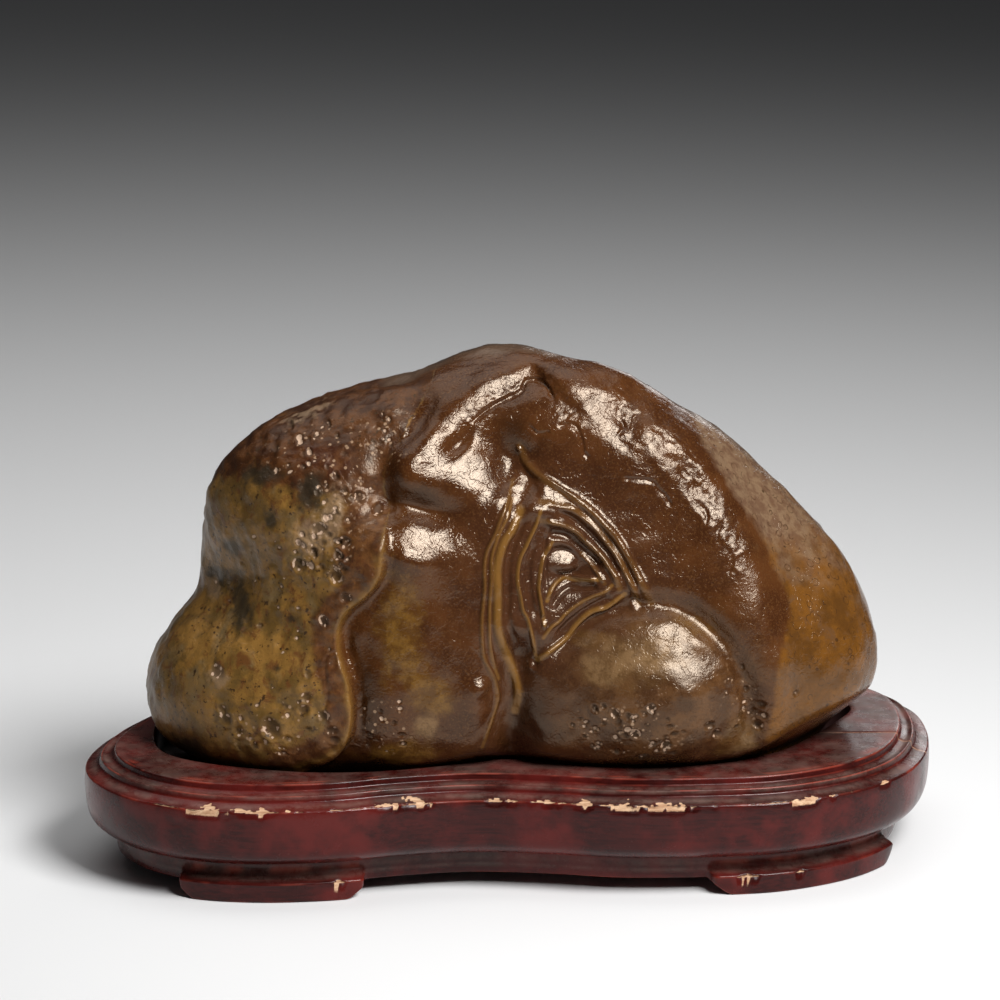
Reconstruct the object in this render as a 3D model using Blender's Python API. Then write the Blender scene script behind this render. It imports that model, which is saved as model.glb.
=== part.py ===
"""A scholar's stone resting in the socket of its carved hardwood stand.

Metres, +Z up, with the origin on the table under the middle of the stand. The design values
are millimetres. The front faces -Y. Heights are above the table.
"""

import math

import bmesh
import bpy
import numpy as np

MM = 0.001

# ---------------------------------------------------------------- stand, driving dimensions
STAND_OUTLINE = [  # the widest edge in plan, anticlockwise from the left end
    (-172.5, -22), (-168, -46), (-152, -69), (-128, -84), (-100, -89), (-70, -86.5),
    (-44, -79), (-15, -74), (14, -76.5), (42, -81), (75, -80.5), (108, -75.5),
    (138, -60), (158, -38), (169, -10), (172.5, 22), (168, 52), (150, 74),
    (118, 86), (78, 89), (38, 85), (0, 81), (-38, 85), (-78, 89),
    (-115, 81), (-141, 60), (-154, 34), (-167, 6),
]
DECK_TOP = 46.8
DECK_INSET = 12.3
FIRST_STEP = (6.7, 43.9)  # inset and height of the upper step's outer edge
ARRIS = (0.3, 39.2)  # inset and height of the sharp edge above the rounded side
NECK_INSET = 12.4
NECK_TOP = 14.8
LIP = (6.6, 7.2)  # inset and height of the foot's lip
FOOT_INNER_INSET = 25.0
APRON_BOTTOM = 5.6
RECESS_TOP = 9.2
FOOT_END_LENGTH = 11.0  # the run over which a foot's end sweeps up to the apron
FEET = [  # the two ends of each foot, as places on the outline
    ((-136, -79), (-54, -82)),
    ((78, -80), (161, -33)),
    ((152, 72), (74, 89)),
    ((-62, 88), (-137, 64)),
]
SOCKET_OUTLINE = [  # the edge of the socket in the deck, anticlockwise from the left
    (-146, 5), (-144.5, -20), (-138, -36), (-124, -47), (-104, -55), (-82, -60),
    (-60, -60), (-40, -56), (-22, -49.5), (-6, -43), (8, -45), (27, -52), (50, -54),
    (72, -51.5), (90, -45), (108, -31), (121, -13), (133, 8), (141, 28), (134, 44),
    (112, 54), (82, 58.5), (40, 58), (0, 57), (-45, 58), (-88, 57), (-122, 45), (-140, 27),
]
SOCKET_FLOOR = 35.0
SOCKET_DRAFT = 1.5  # how much narrower the socket's floor is than its edge, each side
EVEN_STATIONS = 46  # stations spread evenly round the stand, besides those at the feet's ends

# ---------------------------------------------------------------- stone, driving dimensions
STONE_OUTLINE = [  # seen from the front: x and height
    (147, 85), (141, 105), (131, 123), (117, 140), (103.5, 152.5), (90, 165.5), (72, 178.5),
    (43, 192.5), (19, 202), (-5, 206), (-19, 203.5), (-36, 197), (-56, 191), (-75, 185.5),
    (-94, 178), (-110, 164), (-120, 149), (-124, 134), (-125.5, 118), (-128, 105),
    (-138, 92), (-146, 79), (-149, 65), (-145, 52), (-132, 42), (-100, 36),
    (-50, 34), (0, 34), (50, 34), (100, 36), (131, 45), (143.5, 62),
]
STONE_MIDDLE = (0.0, 80.0)
FRONT_DEPTH = 61.0
BACK_DEPTH = 65.0
UPPER_FULLNESS = 1.9  # exponents of the rounding from outline to face: 2 is an ellipse
LOWER_FULLNESS = 3.0
EVENING = 1.4  # draws the sphere's points towards the two broad faces, so that they lie evenly
SOCKET_GAP = 0.8  # between the stone and the socket's wall, along the front and the back
END_GAP = 1.6  # and more at the two ends
STONE_REST = SOCKET_FLOOR + 0.3
OVERHANG_SLOPE = 2.4  # how fast the stone may widen above the deck, along the front and the back
END_OVERHANG_SLOPE = 1.3
FOOT_TAPER = 0.45  # and how fast it narrows below it
SEAT_BLEND = 2.0  # how softly the stone's foot turns into its sides

SWELLS = [  # face, x, height, half width, half height, turn in degrees, lift
    ("front", -104, 72, 28, 28, 0, 7.0),
    ("front", -112, 118, 26, 13, 30, -6.0),
    ("front", -86, 152, 34, 26, 0, 8.5),
    ("front", -82, 186, 11, 6, 20, -3.0),
    ("front", -42, 172, 30, 20, 0, 7.0),
    ("front", -44, 133, 22, 14, 0, 6.5),
    ("front", -44, 84, 26, 36, 0, 4.5),
    ("front", -15, 79, 6, 8, 0, 2.5),
    ("front", 22, 124, 22, 25, 0, -7.0),
    ("front", 24, 128, 7, 8, -40, -4.5),
    ("front", 13, 117, 5, 8, 0, 1.5),
    ("front", 57, 74, 30, 25, 0, 12.0),
    ("front", 125, 88, 26, 34, 0, 4.0),
    ("back", -72, 118, 40, 36, 0, 7.0),
    ("back", 42, 104, 44, 38, 0, 9.0),
    ("back", -14, 148, 26, 24, 0, -7.0),
    ("back", -22, 74, 24, 26, 0, -6.0),
    ("back", 104, 70, 28, 30, 0, 6.0),
    ("back", -108, 70, 24, 22, 0, 5.0),
]
RIDGE = [
    (-4, 196), (10, 196), (25, 193), (40, 187), (53, 177), (65, 166), (77, 150), (86, 134),
    (92, 118), (96, 101), (99, 84), (101, 66),
]
RIDGE_FADE = 45.0  # over how far it rises at its ends
BROAD_FOLDS = [  # face, lift, half width on its left and right, then the line's points
    ("front", 8.0, 11.0, 17.0, RIDGE),
]
FACETS = [  # x, height, half width, half height, turn, the degrees it looks to the right and up, lift
    (-27, 172, 25, 19, 15, 17, 30, 0.5),
    (-4, 194, 19, 7, 20, 17, 31, -1.2),
    (36, 188, 24, 6, -30, 17, 31, 0.0),
    (60, 170, 16, 5.5, -48, 17, 30, 0.0),
    (77, 149, 17, 5.5, -60, 17, 30, 0.0),
    (-37, 139, 13, 9, 0, 17, 30, 0.5),
    (10, 156, 14, 8, -25, 17, 30, 0.0),
    (71, 87, 9, 9, 0, 17, 30, 0.2),
    (-12, 83, 2.6, 3.4, 0, 17, 30, 0.8),
    (36, 163, 27, 13, -38, 0, 9, 0.0),
    (19, 130, 6, 4.5, -20, 17, 30, 1.0),
]
HOLLOWS = [  # face, x, height, half width, half height, turn in degrees, lift
    ("front", -38, 154, 15, 5.5, -20, -6.0),
    ("front", -22, 175, 6.5, 2.8, 42, -3.0),
]
FOLDS = [  # face, lift, half width on its left and right, then the line's points (from above for the top)
    ("front", -5.5, 6.0, 6.0, [(-28, 194), (-36, 187), (-43, 180), (-49, 175), (-51, 165), (-51, 142)]),
    ("front", -8.0, 10.0, 11.0, [(4, 184), (2, 172), (1, 160), (1, 150)]),
    ("front", -4.5, 4.5, 4.5, [(12, 92), (30, 106), (50, 113), (68, 111), (84, 98), (93, 78), (95, 52)]),
    ("front", -8.0, 8.0, 8.0, [(4, 106), (0, 80), (0, 60), (1, 36)]),
    ("front", 3.0, 7.0, 7.0, [(105, 100), (103, 76), (100, 48)]),
    ("top", -3.0, 6.0, 6.0, [(-34, -16), (-48, -7), (-70, -2), (-98, 0)]),
    ("back", -6.0, 10.0, 10.0, [(-34, 196), (-30, 160), (-8, 120), (0, 60)]),
    ("back", 5.0, 12.0, 12.0, [(20, 190), (60, 160), (92, 120), (100, 60)]),
]
FOLD_FADE = 14.0  # over how far a fold rises at its ends
LEDGE = [  # the edge of the left lobe, which stands proud of the trunk: x and height
    (-48, 151), (-50, 143), (-50.5, 136), (-52, 127), (-57, 119), (-64, 112.5), (-68, 105),
    (-68, 95), (-65, 85), (-63.5, 75), (-64, 65), (-68, 57), (-76, 51), (-88, 46),
]
LEDGE_LIFT = 5.0
LEDGE_DROP = 1.5  # the half width of the step down from it
LEDGE_FADE = 24.0  # how far back from the edge the lobe stays raised
RIBS = [  # lift, half width, then the line's points: the nested layers and the strata
    (1.6, 1.6, [(0, 160), (-2, 153), (-5, 146), (-7, 141), (-10, 135), (-11, 129), (-11, 120), (-12, 110),
                (-12, 101), (-11, 93), (-7, 84), (-6, 75), (-9, 65), (-12, 56)]),
    (1.8, 1.6, [(3, 150), (0, 143), (-3, 139), (-5, 134), (-6, 129), (-6, 122), (-6, 114), (-6, 107),
                (-4.5, 100), (-1, 90), (2, 79), (1, 70)]),
    (1.6, 1.4, [(11, 150), (9, 144), (7, 140), (5, 136), (3, 132), (2, 127), (2, 122), (3, 117), (4, 112),
                (6, 108), (8, 100), (9, 93)]),
    (1.6, 1.4, [(15.5, 137), (13, 133), (11.3, 129), (10.6, 124), (10.2, 120), (11, 115), (12.5, 106)]),
    (1.6, 1.4, [(13.5, 115), (15, 119), (17.5, 121.5), (20.5, 122.5), (24, 122), (28, 122), (34, 122.5)]),
    (1.8, 1.6, [(9.5, 92), (15, 96), (21, 100), (25, 105), (29, 109), (33, 111), (37, 112), (44, 117)]),
    (1.8, 1.6, [(3, 173), (5, 167), (9, 164), (14, 161), (20, 157.5), (26, 154), (31, 150), (36, 145),
                (41, 140), (45, 134), (49, 127), (52, 121), (55, 115)]),
    (1.5, 1.4, [(11, 153), (18, 152), (23, 150), (28, 146.5), (33, 142), (37, 137), (41, 132), (44, 126),
                (47, 120), (49, 113)]),
    (1.5, 1.4, [(11, 146), (15, 145), (20, 143.5), (25, 140.5), (28, 137), (31, 134.5), (34, 132),
                (37, 128.5), (40, 124), (42, 119)]),
    (-1.3, 1.6, [(5, 148), (2, 141), (-1, 134), (-2, 127), (-2, 117), (-2, 108), (2, 96)]),
    (-1.6, 2.2, [(13, 141), (20, 140), (26, 136), (31, 131), (36, 126)]),
]
PITS = [  # x, height, diameter, depth
    (-95, 67, 8, 1.8), (-115, 87, 6, 1.4), (-113, 71, 6, 1.4), (-108, 63, 5, 1.2),
    (-81, 78, 5, 1.2), (-84, 72, 5, 1.2), (-74, 70, 5, 1.2), (-70, 61, 5, 1.2),
    (-75, 134, 7, 1.5), (-62, 139, 7, 1.5), (-57, 131, 6, 1.4), (97, 67, 5, 1.2),
    (40, 66, 6, 1.4), (56, 60, 6, 1.4), (68, 68, 5, 1.2), (48, 76, 5, 1.2),
]
SPHERE_LEVEL = 8  # subdivisions of the sphere that the stone is shaped from
STONE_TRIANGLES = 8600  # left after the flatter places are thinned out

WOOD = {"colour": (0.085, 0.014, 0.011, 1), "roughness": 0.28}
ROCK = {"colour": (0.13, 0.075, 0.024, 1), "roughness": 0.22}


# ---------------------------------------------------------------- curves and distances
def smooth_line(points, steps, closed):
    """Points along the Catmull-Rom curve through the given ones."""
    points = np.array(points, float)
    if closed:
        padded = np.vstack([points[-1], points, points[:2]])
    else:
        padded = np.vstack([2 * points[0] - points[1], points, 2 * points[-1] - points[-2]])
    t = np.linspace(0, 1, steps, endpoint=False)[:, None]
    runs = []
    for i in range(len(padded) - 3):
        a, b, c, d = padded[i:i + 4]
        runs.append(0.5 * (2 * b + (c - a) * t + (2 * a - 5 * b + 4 * c - d) * t ** 2
                           + (3 * b - a - 3 * c + d) * t ** 3))
    if not closed:
        runs.append(points[-1:])
    return np.vstack(runs)


def smoothstep(t):
    t = np.clip(t, 0, 1)
    return t * t * (3 - 2 * t)


def polar_radius(curve, middle, angles):
    """The distance from the middle to a closed curve round it, in each direction."""
    offset = curve - np.array(middle)
    at = np.arctan2(offset[:, 1], offset[:, 0])
    order = np.argsort(at)
    return np.interp(angles, at[order], np.hypot(*offset[order].T), period=2 * math.pi)


def line_distance(points, line):
    """Each point's distance from an open line, its side (+ on the left), and how far along it is."""
    best = np.full(len(points), 1e9)
    side = np.zeros(len(points))
    along = np.zeros(len(points))
    lengths = np.hypot(*np.diff(line, axis=0).T)
    starts = np.concatenate([[0], np.cumsum(lengths)])
    for i, length in enumerate(lengths):
        direction = (line[i + 1] - line[i]) / length
        offset = points - line[i]
        run = np.clip(offset @ direction, 0, length)
        gap = offset - run[:, None] * direction
        distance = np.hypot(*gap.T)
        nearer = distance < best
        best[nearer] = distance[nearer]
        side[nearer] = np.sign(direction[0] * offset[:, 1] - direction[1] * offset[:, 0])[nearer]
        along[nearer] = starts[i] + run[nearer]
    return best, side, along / starts[-1]


# ---------------------------------------------------------------- stone
def pillow(directions):
    """The stone's plain mass: its outline, rounded over to the front and the back."""
    evened = directions * (1, EVENING, 1)
    x, y, z = (evened / np.linalg.norm(evened, axis=1)[:, None]).T
    across = np.hypot(x, z)
    angle = np.arctan2(z, x)
    low = smoothstep(0.5 - 0.8 * z)
    fullness = UPPER_FULLNESS + (LOWER_FULLNESS - UPPER_FULLNESS) * low
    scale = (across ** fullness + np.abs(y) ** fullness) ** (-1 / fullness)
    reach = across * scale * polar_radius(smooth_line(STONE_OUTLINE, 12, True), STONE_MIDDLE, angle)
    depth = np.where(y < 0, FRONT_DEPTH, BACK_DEPTH)
    return np.stack([
        STONE_MIDDLE[0] + reach * np.cos(angle),
        y * scale * depth,
        STONE_MIDDLE[1] + reach * np.sin(angle),
    ], axis=1)


def vertex_normals(points, triangles):
    corners = points[triangles]
    faces = np.cross(corners[:, 1] - corners[:, 0], corners[:, 2] - corners[:, 0])
    normals = np.zeros_like(points)
    for corner in range(3):
        np.add.at(normals, triangles[:, corner], faces)
    return normals / np.linalg.norm(normals, axis=1)[:, None]


def facing(normals, face):
    """1 where the stone looks to the front, the back or the top, fading to 0 past its outline."""
    towards = {"front": -normals[:, 1], "back": normals[:, 1], "top": normals[:, 2] - 0.3}[face]
    return smoothstep((towards + 0.1) / 0.5)


def seen(points, face):
    """The points as drawn on paper: from above for the top, else as from the front."""
    return points[:, [0, 1]] if face == "top" else points[:, [0, 2]]


def oval(points, x, height, half_width, half_height, turn=0):
    """0 at the middle of an oval on the front, 1 at its edge and growing beyond it."""
    cos, sin = math.cos(math.radians(turn)), math.sin(math.radians(turn))
    across, up = points[:, 0] - x, points[:, 2] - height
    return ((across * cos + up * sin) / half_width) ** 2 + ((up * cos - across * sin) / half_height) ** 2


def blob(points, x, height, half_width, half_height, turn=0):
    """1 at the middle of a soft oval on the front, fading to 0 round it."""
    return np.exp(-oval(points, x, height, half_width, half_height, turn))


def swell_lift(points, normals, swells):
    """The broad bulges and hollows."""
    lift = np.zeros(len(points))
    for face, x, height, half_width, half_height, turn, rise in swells:
        lift += rise * blob(points, x, height, half_width, half_height, turn) * facing(normals, face)
    return lift


def fold_lift(points, normals, folds, fade):
    """The ridges and the valleys between the broad forms."""
    lift = np.zeros(len(points))
    for face, rise, left_width, right_width, line in folds:
        curve = smooth_line(line, 6, False)
        length = np.hypot(*np.diff(curve, axis=0).T).sum()
        distance, side, along = line_distance(seen(points, face), curve)
        half_width = np.where(side > 0, left_width, right_width)
        ends = smoothstep(along * length / fade) * smoothstep((1 - along) * length / fade)
        lift += rise * np.exp(-(distance / half_width) ** 2) * ends * facing(normals, face)
    return lift


def planed(points, normals):
    """The points, with the facets of the front drawn flat."""
    planed_points = points.copy()
    front = facing(normals, "front")
    for x, height, half_width, half_height, turn, aside, upward, rise in FACETS:
        reach = oval(points, x, height, half_width, half_height, turn)
        middle = points[np.argmin(np.where(front > 0.5, reach, 1e9)), 1]
        across, up = np.tan(np.radians([aside, upward])) * (1, 1 / math.cos(math.radians(aside)))
        plane = middle - rise + across * (points[:, 0] - x) + up * (points[:, 2] - height)
        planed_points[:, 1] += np.exp(-reach ** 2) * front * (plane - planed_points[:, 1])
    return planed_points


def ledge_lift(points, normals):
    """The left lobe's raised edge, which drops straight to the trunk."""
    distance, side, along = line_distance(points[:, [0, 2]], smooth_line(LEDGE, 6, False))
    outside = distance * side
    lobe = smoothstep(0.5 - (outside - LEDGE_DROP) / (2 * LEDGE_DROP))
    rise = np.exp(-(np.minimum(outside, 0) / LEDGE_FADE) ** 2) * lobe
    crease = 0.3 * np.exp(-((outside - 3 * LEDGE_DROP) / 2.5) ** 2) * (1 - lobe)
    return LEDGE_LIFT * (rise - crease) * smoothstep(along * 5) * facing(normals, "front")


def rib_lift(points, normals):
    """The nested layers, the strata and the larger pits."""
    lift = np.zeros(len(points))
    for rise, half_width, line in RIBS:
        distance, _, along = line_distance(points[:, [0, 2]], smooth_line(line, 5, False))
        ends = smoothstep(along * 8) * smoothstep((1 - along) * 8)
        lift += rise * np.exp(-(distance / half_width) ** 2) * ends
    for x, height, diameter, depth in PITS:
        reach = np.hypot(points[:, 0] - x, points[:, 2] - height) / (diameter / 2)
        lift -= depth * np.exp(-reach ** 4)
    return lift * facing(normals, "front")


def seat_in_socket(points):
    """Keeps the stone's foot inside the socket, and cuts it flat on the socket's floor."""
    angle = np.arctan2(points[:, 1], points[:, 0])
    radius = np.hypot(points[:, 0], points[:, 1])
    edge = polar_radius(smooth_line(SOCKET_OUTLINE, 12, True), (0, 0), angle)
    above = points[:, 2] - DECK_TOP
    at_end = smoothstep((np.abs(np.cos(angle)) - 0.85) / 0.1)
    gap = SOCKET_GAP + (END_GAP - SOCKET_GAP) * at_end
    overhang = OVERHANG_SLOPE + (END_OVERHANG_SLOPE - OVERHANG_SLOPE) * at_end
    widest = edge - SOCKET_DRAFT - gap + np.where(above > 0, overhang, FOOT_TAPER) * above
    fitted = widest - SEAT_BLEND * np.logaddexp(0, (widest - radius) / SEAT_BLEND)
    shrink = np.where(radius > 1, fitted / np.maximum(radius, 1), 1)
    seated = points.copy()
    seated[:, :2] *= shrink[:, None]
    seated[:, 2] = np.maximum(points[:, 2], STONE_REST)
    return seated


def shaped_stone(directions, triangles):
    """The finished surface in millimetres, for a sphere's points and triangles."""
    points = pillow(directions)
    base = vertex_normals(points, triangles)
    broad = swell_lift(points, base, SWELLS) + fold_lift(points, base, BROAD_FOLDS, RIDGE_FADE)
    points = planed(points + base * broad[:, None], base)
    sharper = swell_lift(points, base, HOLLOWS) + fold_lift(points, base, FOLDS, FOLD_FADE)
    points = points + base * sharper[:, None]
    normals = vertex_normals(points, triangles)
    lift = ledge_lift(points, base) + rib_lift(points, base)
    return seat_in_socket(points + normals * lift[:, None])


def make_stone():
    bm = bmesh.new()
    bmesh.ops.create_icosphere(bm, subdivisions=SPHERE_LEVEL, radius=1)
    bm.verts.index_update()
    directions = np.array([vert.co[:] for vert in bm.verts])
    triangles = np.array([[vert.index for vert in face.verts] for face in bm.faces])
    for vert, place in zip(bm.verts, shaped_stone(directions, triangles) * MM):
        vert.co = place
    bmesh.ops.recalc_face_normals(bm, faces=bm.faces[:])
    stone = as_object(bm, "stone", ROCK)
    thinning = stone.modifiers.new("thinning", "DECIMATE")
    thinning.ratio = STONE_TRIANGLES / len(triangles)
    return stone


# ---------------------------------------------------------------- stand
def inward(curve):
    """Unit vectors across a closed anticlockwise curve, towards its inside."""
    along = np.roll(curve, -1, axis=0) - np.roll(curve, 1, axis=0)
    across = np.stack([-along[:, 1], along[:, 0]], axis=1)
    return across / np.linalg.norm(across, axis=1)[:, None]


def arc_positions(curve):
    steps = np.hypot(*(np.roll(curve, -1, axis=0) - curve).T)
    return np.concatenate([[0], np.cumsum(steps)])


def foot_spans(curve, positions):
    """Where each foot starts and ends, as distances round the outline."""
    spans = []
    for ends in FEET:
        nearest = [np.argmin(np.hypot(*(curve - np.array(end)).T)) for end in ends]
        spans.append((positions[nearest[0]], positions[nearest[1]]))
    return spans


def foot_shares(at, spans):
    """At each station: 1 where the foot's lip flares out, and 1 where the foot reaches the table."""
    flare = np.zeros(len(at))
    drop = np.zeros(len(at))
    for start, end in spans:
        inside = np.minimum(at - start, end - at)
        flare = np.maximum(flare, smoothstep(inside / 3.0))
        drop = np.maximum(drop, smoothstep((inside + 1.0) / FOOT_END_LENGTH))
    return flare, drop


def stations(length, spans):
    """Distances round the outline: evenly spread, with more where a foot ends."""
    special = []
    for start, end in spans:
        for offset in (0.0, 2.0, 4.5, 7.0, 10.0):
            special += [start + offset, end - offset]
    even = np.arange(EVEN_STATIONS) * length / EVEN_STATIONS
    clear = [s for s in even if min(abs(s - p) for p in special) > 0.35 * length / EVEN_STATIONS]
    return np.array(sorted(clear + special))


def stand_rows(flare, drop):
    """The stand's section from the deck's edge down and in under it: inset and height at each station."""
    one = np.ones_like(flare)

    def between(plain, footed, share=flare):
        return plain + (footed - plain) * share

    return [
        (DECK_INSET * one, DECK_TOP * one),
        ((DECK_INSET - 0.4) * one, (DECK_TOP - 2.7) * one),
        (9.4 * one, 43.2 * one),
        (FIRST_STEP[0] * one, FIRST_STEP[1] * one),
        ((FIRST_STEP[0] - 0.4) * one, 41.2 * one),
        (3.4 * one, 39.7 * one),
        (ARRIS[0] * one, ARRIS[1] * one),
        (0.0 * one, 32.0 * one),
        (0.4 * one, 24.6 * one),
        (2.4 * one, 19.6 * one),
        (6.5 * one, 16.2 * one),
        (NECK_INSET * one, NECK_TOP * one),
        (NECK_INSET * one, 12.2 * one),
        (between(NECK_INSET, 10.2), between(10.0, 8.9)),
        (between(NECK_INSET, LIP[0]), between(7.6, LIP[1])),
        (between(NECK_INSET + 0.4, LIP[0] + 0.8), between(APRON_BOTTOM, 0, drop)),
        (FOOT_INNER_INSET * one, between(APRON_BOTTOM, 0, drop)),
        ((FOOT_INNER_INSET + 0.8) * one, RECESS_TOP * one),
    ]


def make_stand():
    curve = smooth_line(STAND_OUTLINE, 24, True)
    positions = arc_positions(curve)
    spans = foot_spans(curve, positions)
    at = stations(positions[-1], spans)
    closed_curve = np.vstack([curve, curve[:1]])
    closed_inward = np.vstack([inward(curve), inward(curve)[:1]])
    plan = np.stack([np.interp(at, positions, closed_curve[:, i]) for i in (0, 1)], axis=1)
    into = np.stack([np.interp(at, positions, closed_inward[:, i]) for i in (0, 1)], axis=1)
    flare, drop = foot_shares(at, spans)
    bm = bmesh.new()
    rings = []
    angle = np.arctan2(plan[:, 1], plan[:, 0])
    edge = polar_radius(smooth_line(SOCKET_OUTLINE, 12, True), (0, 0), angle)
    for draft, height in ((SOCKET_DRAFT, SOCKET_FLOOR), (0, DECK_TOP)):
        radius = edge - draft
        rings.append([(r * math.cos(a), r * math.sin(a), height) for r, a in zip(radius, angle)])
    for inset, height in stand_rows(flare, drop):
        places = plan + into * inset[:, None]
        rings.append([(x, y, z) for (x, y), z in zip(places, height)])
    loops = [[bm.verts.new([value * MM for value in place]) for place in ring] for ring in rings]
    for upper, lower in zip(loops, loops[1:]):
        for i in range(len(upper)):
            j = (i + 1) % len(upper)
            bm.faces.new((upper[i], lower[i], lower[j], upper[j]))
    for cap in (loops[0], loops[-1]):
        bm.faces.new(cap)
    bmesh.ops.triangulate(bm, faces=bm.faces[:], quad_method="SHORT_EDGE")
    bmesh.ops.recalc_face_normals(bm, faces=bm.faces[:])
    return as_object(bm, "stand", WOOD)


# ---------------------------------------------------------------- scene
def as_object(bm, name, finish):
    mesh = bpy.data.meshes.new(name)
    bm.to_mesh(mesh)
    bm.free()
    mesh.shade_smooth()
    mesh.set_sharp_from_angle(angle=math.radians(35))
    material = bpy.data.materials.new(name)
    material.use_nodes = True
    shader = material.node_tree.nodes["Principled BSDF"]
    shader.inputs["Base Color"].default_value = finish["colour"]
    shader.inputs["Roughness"].default_value = finish["roughness"]
    shader.inputs["Metallic"].default_value = 0
    mesh.materials.append(material)
    made = bpy.data.objects.new(name, mesh)
    bpy.context.scene.collection.objects.link(made)
    return made


def main():
    for old in list(bpy.data.objects):
        bpy.data.objects.remove(old, do_unlink=True)
    make_stand()
    make_stone()


main()
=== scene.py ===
"""A waxed scholar's stone in the socket of its lacquered hardwood stand: the finished surfaces.

Metres, +Z up, with the origin on the table under the middle of the stand. The design values are
millimetres. The front faces -Y, and heights are above the table.
"""

import math

import bmesh
import bpy
import numpy as np
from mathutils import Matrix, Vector


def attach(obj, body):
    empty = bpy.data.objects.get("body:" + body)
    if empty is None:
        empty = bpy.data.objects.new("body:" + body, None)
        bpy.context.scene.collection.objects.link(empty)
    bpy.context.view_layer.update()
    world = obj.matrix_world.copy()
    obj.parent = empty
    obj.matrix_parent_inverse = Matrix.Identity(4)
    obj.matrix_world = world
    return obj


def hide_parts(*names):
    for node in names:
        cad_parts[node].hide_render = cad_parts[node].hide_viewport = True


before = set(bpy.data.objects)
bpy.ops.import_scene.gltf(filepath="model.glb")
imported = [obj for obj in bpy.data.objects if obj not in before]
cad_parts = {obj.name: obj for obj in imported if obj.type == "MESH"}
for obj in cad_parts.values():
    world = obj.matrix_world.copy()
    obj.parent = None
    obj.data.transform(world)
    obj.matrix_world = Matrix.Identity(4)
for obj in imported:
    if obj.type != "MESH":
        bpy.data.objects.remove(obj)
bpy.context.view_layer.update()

MM = 0.001

# ---------------------------------------------------------------- stand, driving dimensions
STAND_OUTLINE = [  # the widest edge in plan, anticlockwise from the left end
    (-172.5, -22), (-168, -46), (-152, -69), (-128, -84), (-100, -89), (-70, -86.5),
    (-44, -79), (-15, -74), (14, -76.5), (42, -81), (75, -80.5), (108, -75.5),
    (138, -60), (158, -38), (169, -10), (172.5, 22), (168, 52), (150, 74),
    (118, 86), (78, 89), (38, 85), (0, 81), (-38, 85), (-78, 89),
    (-115, 81), (-141, 60), (-154, 34), (-167, 6),
]
SOCKET_OUTLINE = [  # the edge of the socket in the deck, anticlockwise from the left
    (-146, 5), (-144.5, -20), (-138, -36), (-124, -47), (-104, -55), (-82, -60),
    (-60, -60), (-40, -56), (-22, -49.5), (-6, -43), (8, -45), (27, -52), (50, -54),
    (72, -51.5), (90, -45), (108, -31), (121, -13), (133, 8), (141, 28), (134, 44),
    (112, 54), (82, 58.5), (40, 58), (0, 57), (-45, 58), (-88, 57), (-122, 45), (-140, 27),
]
DECK_TOP = 46.8
SOCKET_FLOOR = 35.0
SOCKET_DRAFT = 1.5
SOCKET_WALL = [  # how far in from the socket's edge and how high each row of points is
    (SOCKET_DRAFT, SOCKET_FLOOR), (0.4, DECK_TOP - 3), (0.0, DECK_TOP - 0.6),
    (-0.2, DECK_TOP - 0.15), (-0.7, DECK_TOP),
]
DECK_ROWS = 6  # rows of points across the deck
APRON_BOTTOM = 5.6
RECESS_TOP = 9.2
FOOT_END_LENGTH = 11.0  # over how far a foot comes down from the apron at its ends
LIP_FADE = 3.0  # over how far a foot's lip flares out at its ends
FEET = [  # the two ends of each foot, as places on the outline
    ((-136, -79), (-54, -82)),
    ((78, -80), (161, -33)),
    ((152, 72), (74, 89)),
    ((-62, 88), (-137, 64)),
]
STATION_COUNT = 860  # section lines round the stand
MOULDING = [  # inset, height and rounding of each turn of the section, from the deck's edge down
    (14.5, DECK_TOP, 0), (12.3, DECK_TOP, 0.8), (11.9, 44.2, 0.5), (9.4, 43.2, 1.2), (6.7, 43.9, 0.7),
    (6.2, 41.3, 0.6), (3.4, 39.9, 1.5), (0.3, 39.3, 0.8), (0.0, 36.0, 0),
]
SIDE = [(0.0, 36.0), (0.0, 32.0), (0.3, 27.0), (0.9, 23.0), (2.4, 19.6), (6.0, 16.4), (10.4, 15.0)]
NECK = [(10.4, 15.0, 0), (12.6, 14.8, 0.5), (12.6, 11.8, 0.8)]
PLAIN_FOOT = [  # the section below the neck, between two feet
    (12.4, 10.4, 0), (12.4, 9.0, 0.2), (12.4, 7.6, 0.2), (12.8, APRON_BOTTOM, 0.5),
    (25.0, APRON_BOTTOM, 0.4), (25.8, RECESS_TOP, 0),
]
FULL_FOOT = [  # the same in the middle of a foot
    (11.2, 9.6, 0), (8.6, 8.9, 1.0), (6.6, 7.6, 0.7), (7.3, 0.0, 0.5), (25.0, 0.0, 0.4),
    (25.8, RECESS_TOP, 0),
]
ARRIS_HEIGHT = 39.2
FOOT_LIP_HEIGHT = 7.4
CHIP_DEPTH = 0.9
CHIPS = [  # along the arris: from x, to x, height of the bared wood, share of it above the arris
    (-131, -108, 3.0, 0.25), (-112, -83, 1.1, 0.5), (-57, -42, 0.9, 0.4), (-49, -31, 2.0, 0.35),
    (-11, 0, 0.9, 0.4), (6, 21, 0.9, 0.5), (20, 36, 1.3, 0.45), (34, 54, 2.2, 0.25), (46, 71, 1.9, 0.3),
    (107, 124, 1.6, 0.35), (145, 151, 1.1, 0.3), (-146, -128, 0.4, 0.5), (-86, -56, 0.35, 0.5),
    (0, 80, 0.35, 0.6), (92, 132, 0.35, 0.5),
]
FOOT_CHIPS = [  # as the chips, along the feet's lip
    (88, 97, 0.8, 0.35), (-71, -66, 1.0, 0.4), (112, 116, 0.9, 0.4),
]
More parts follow.
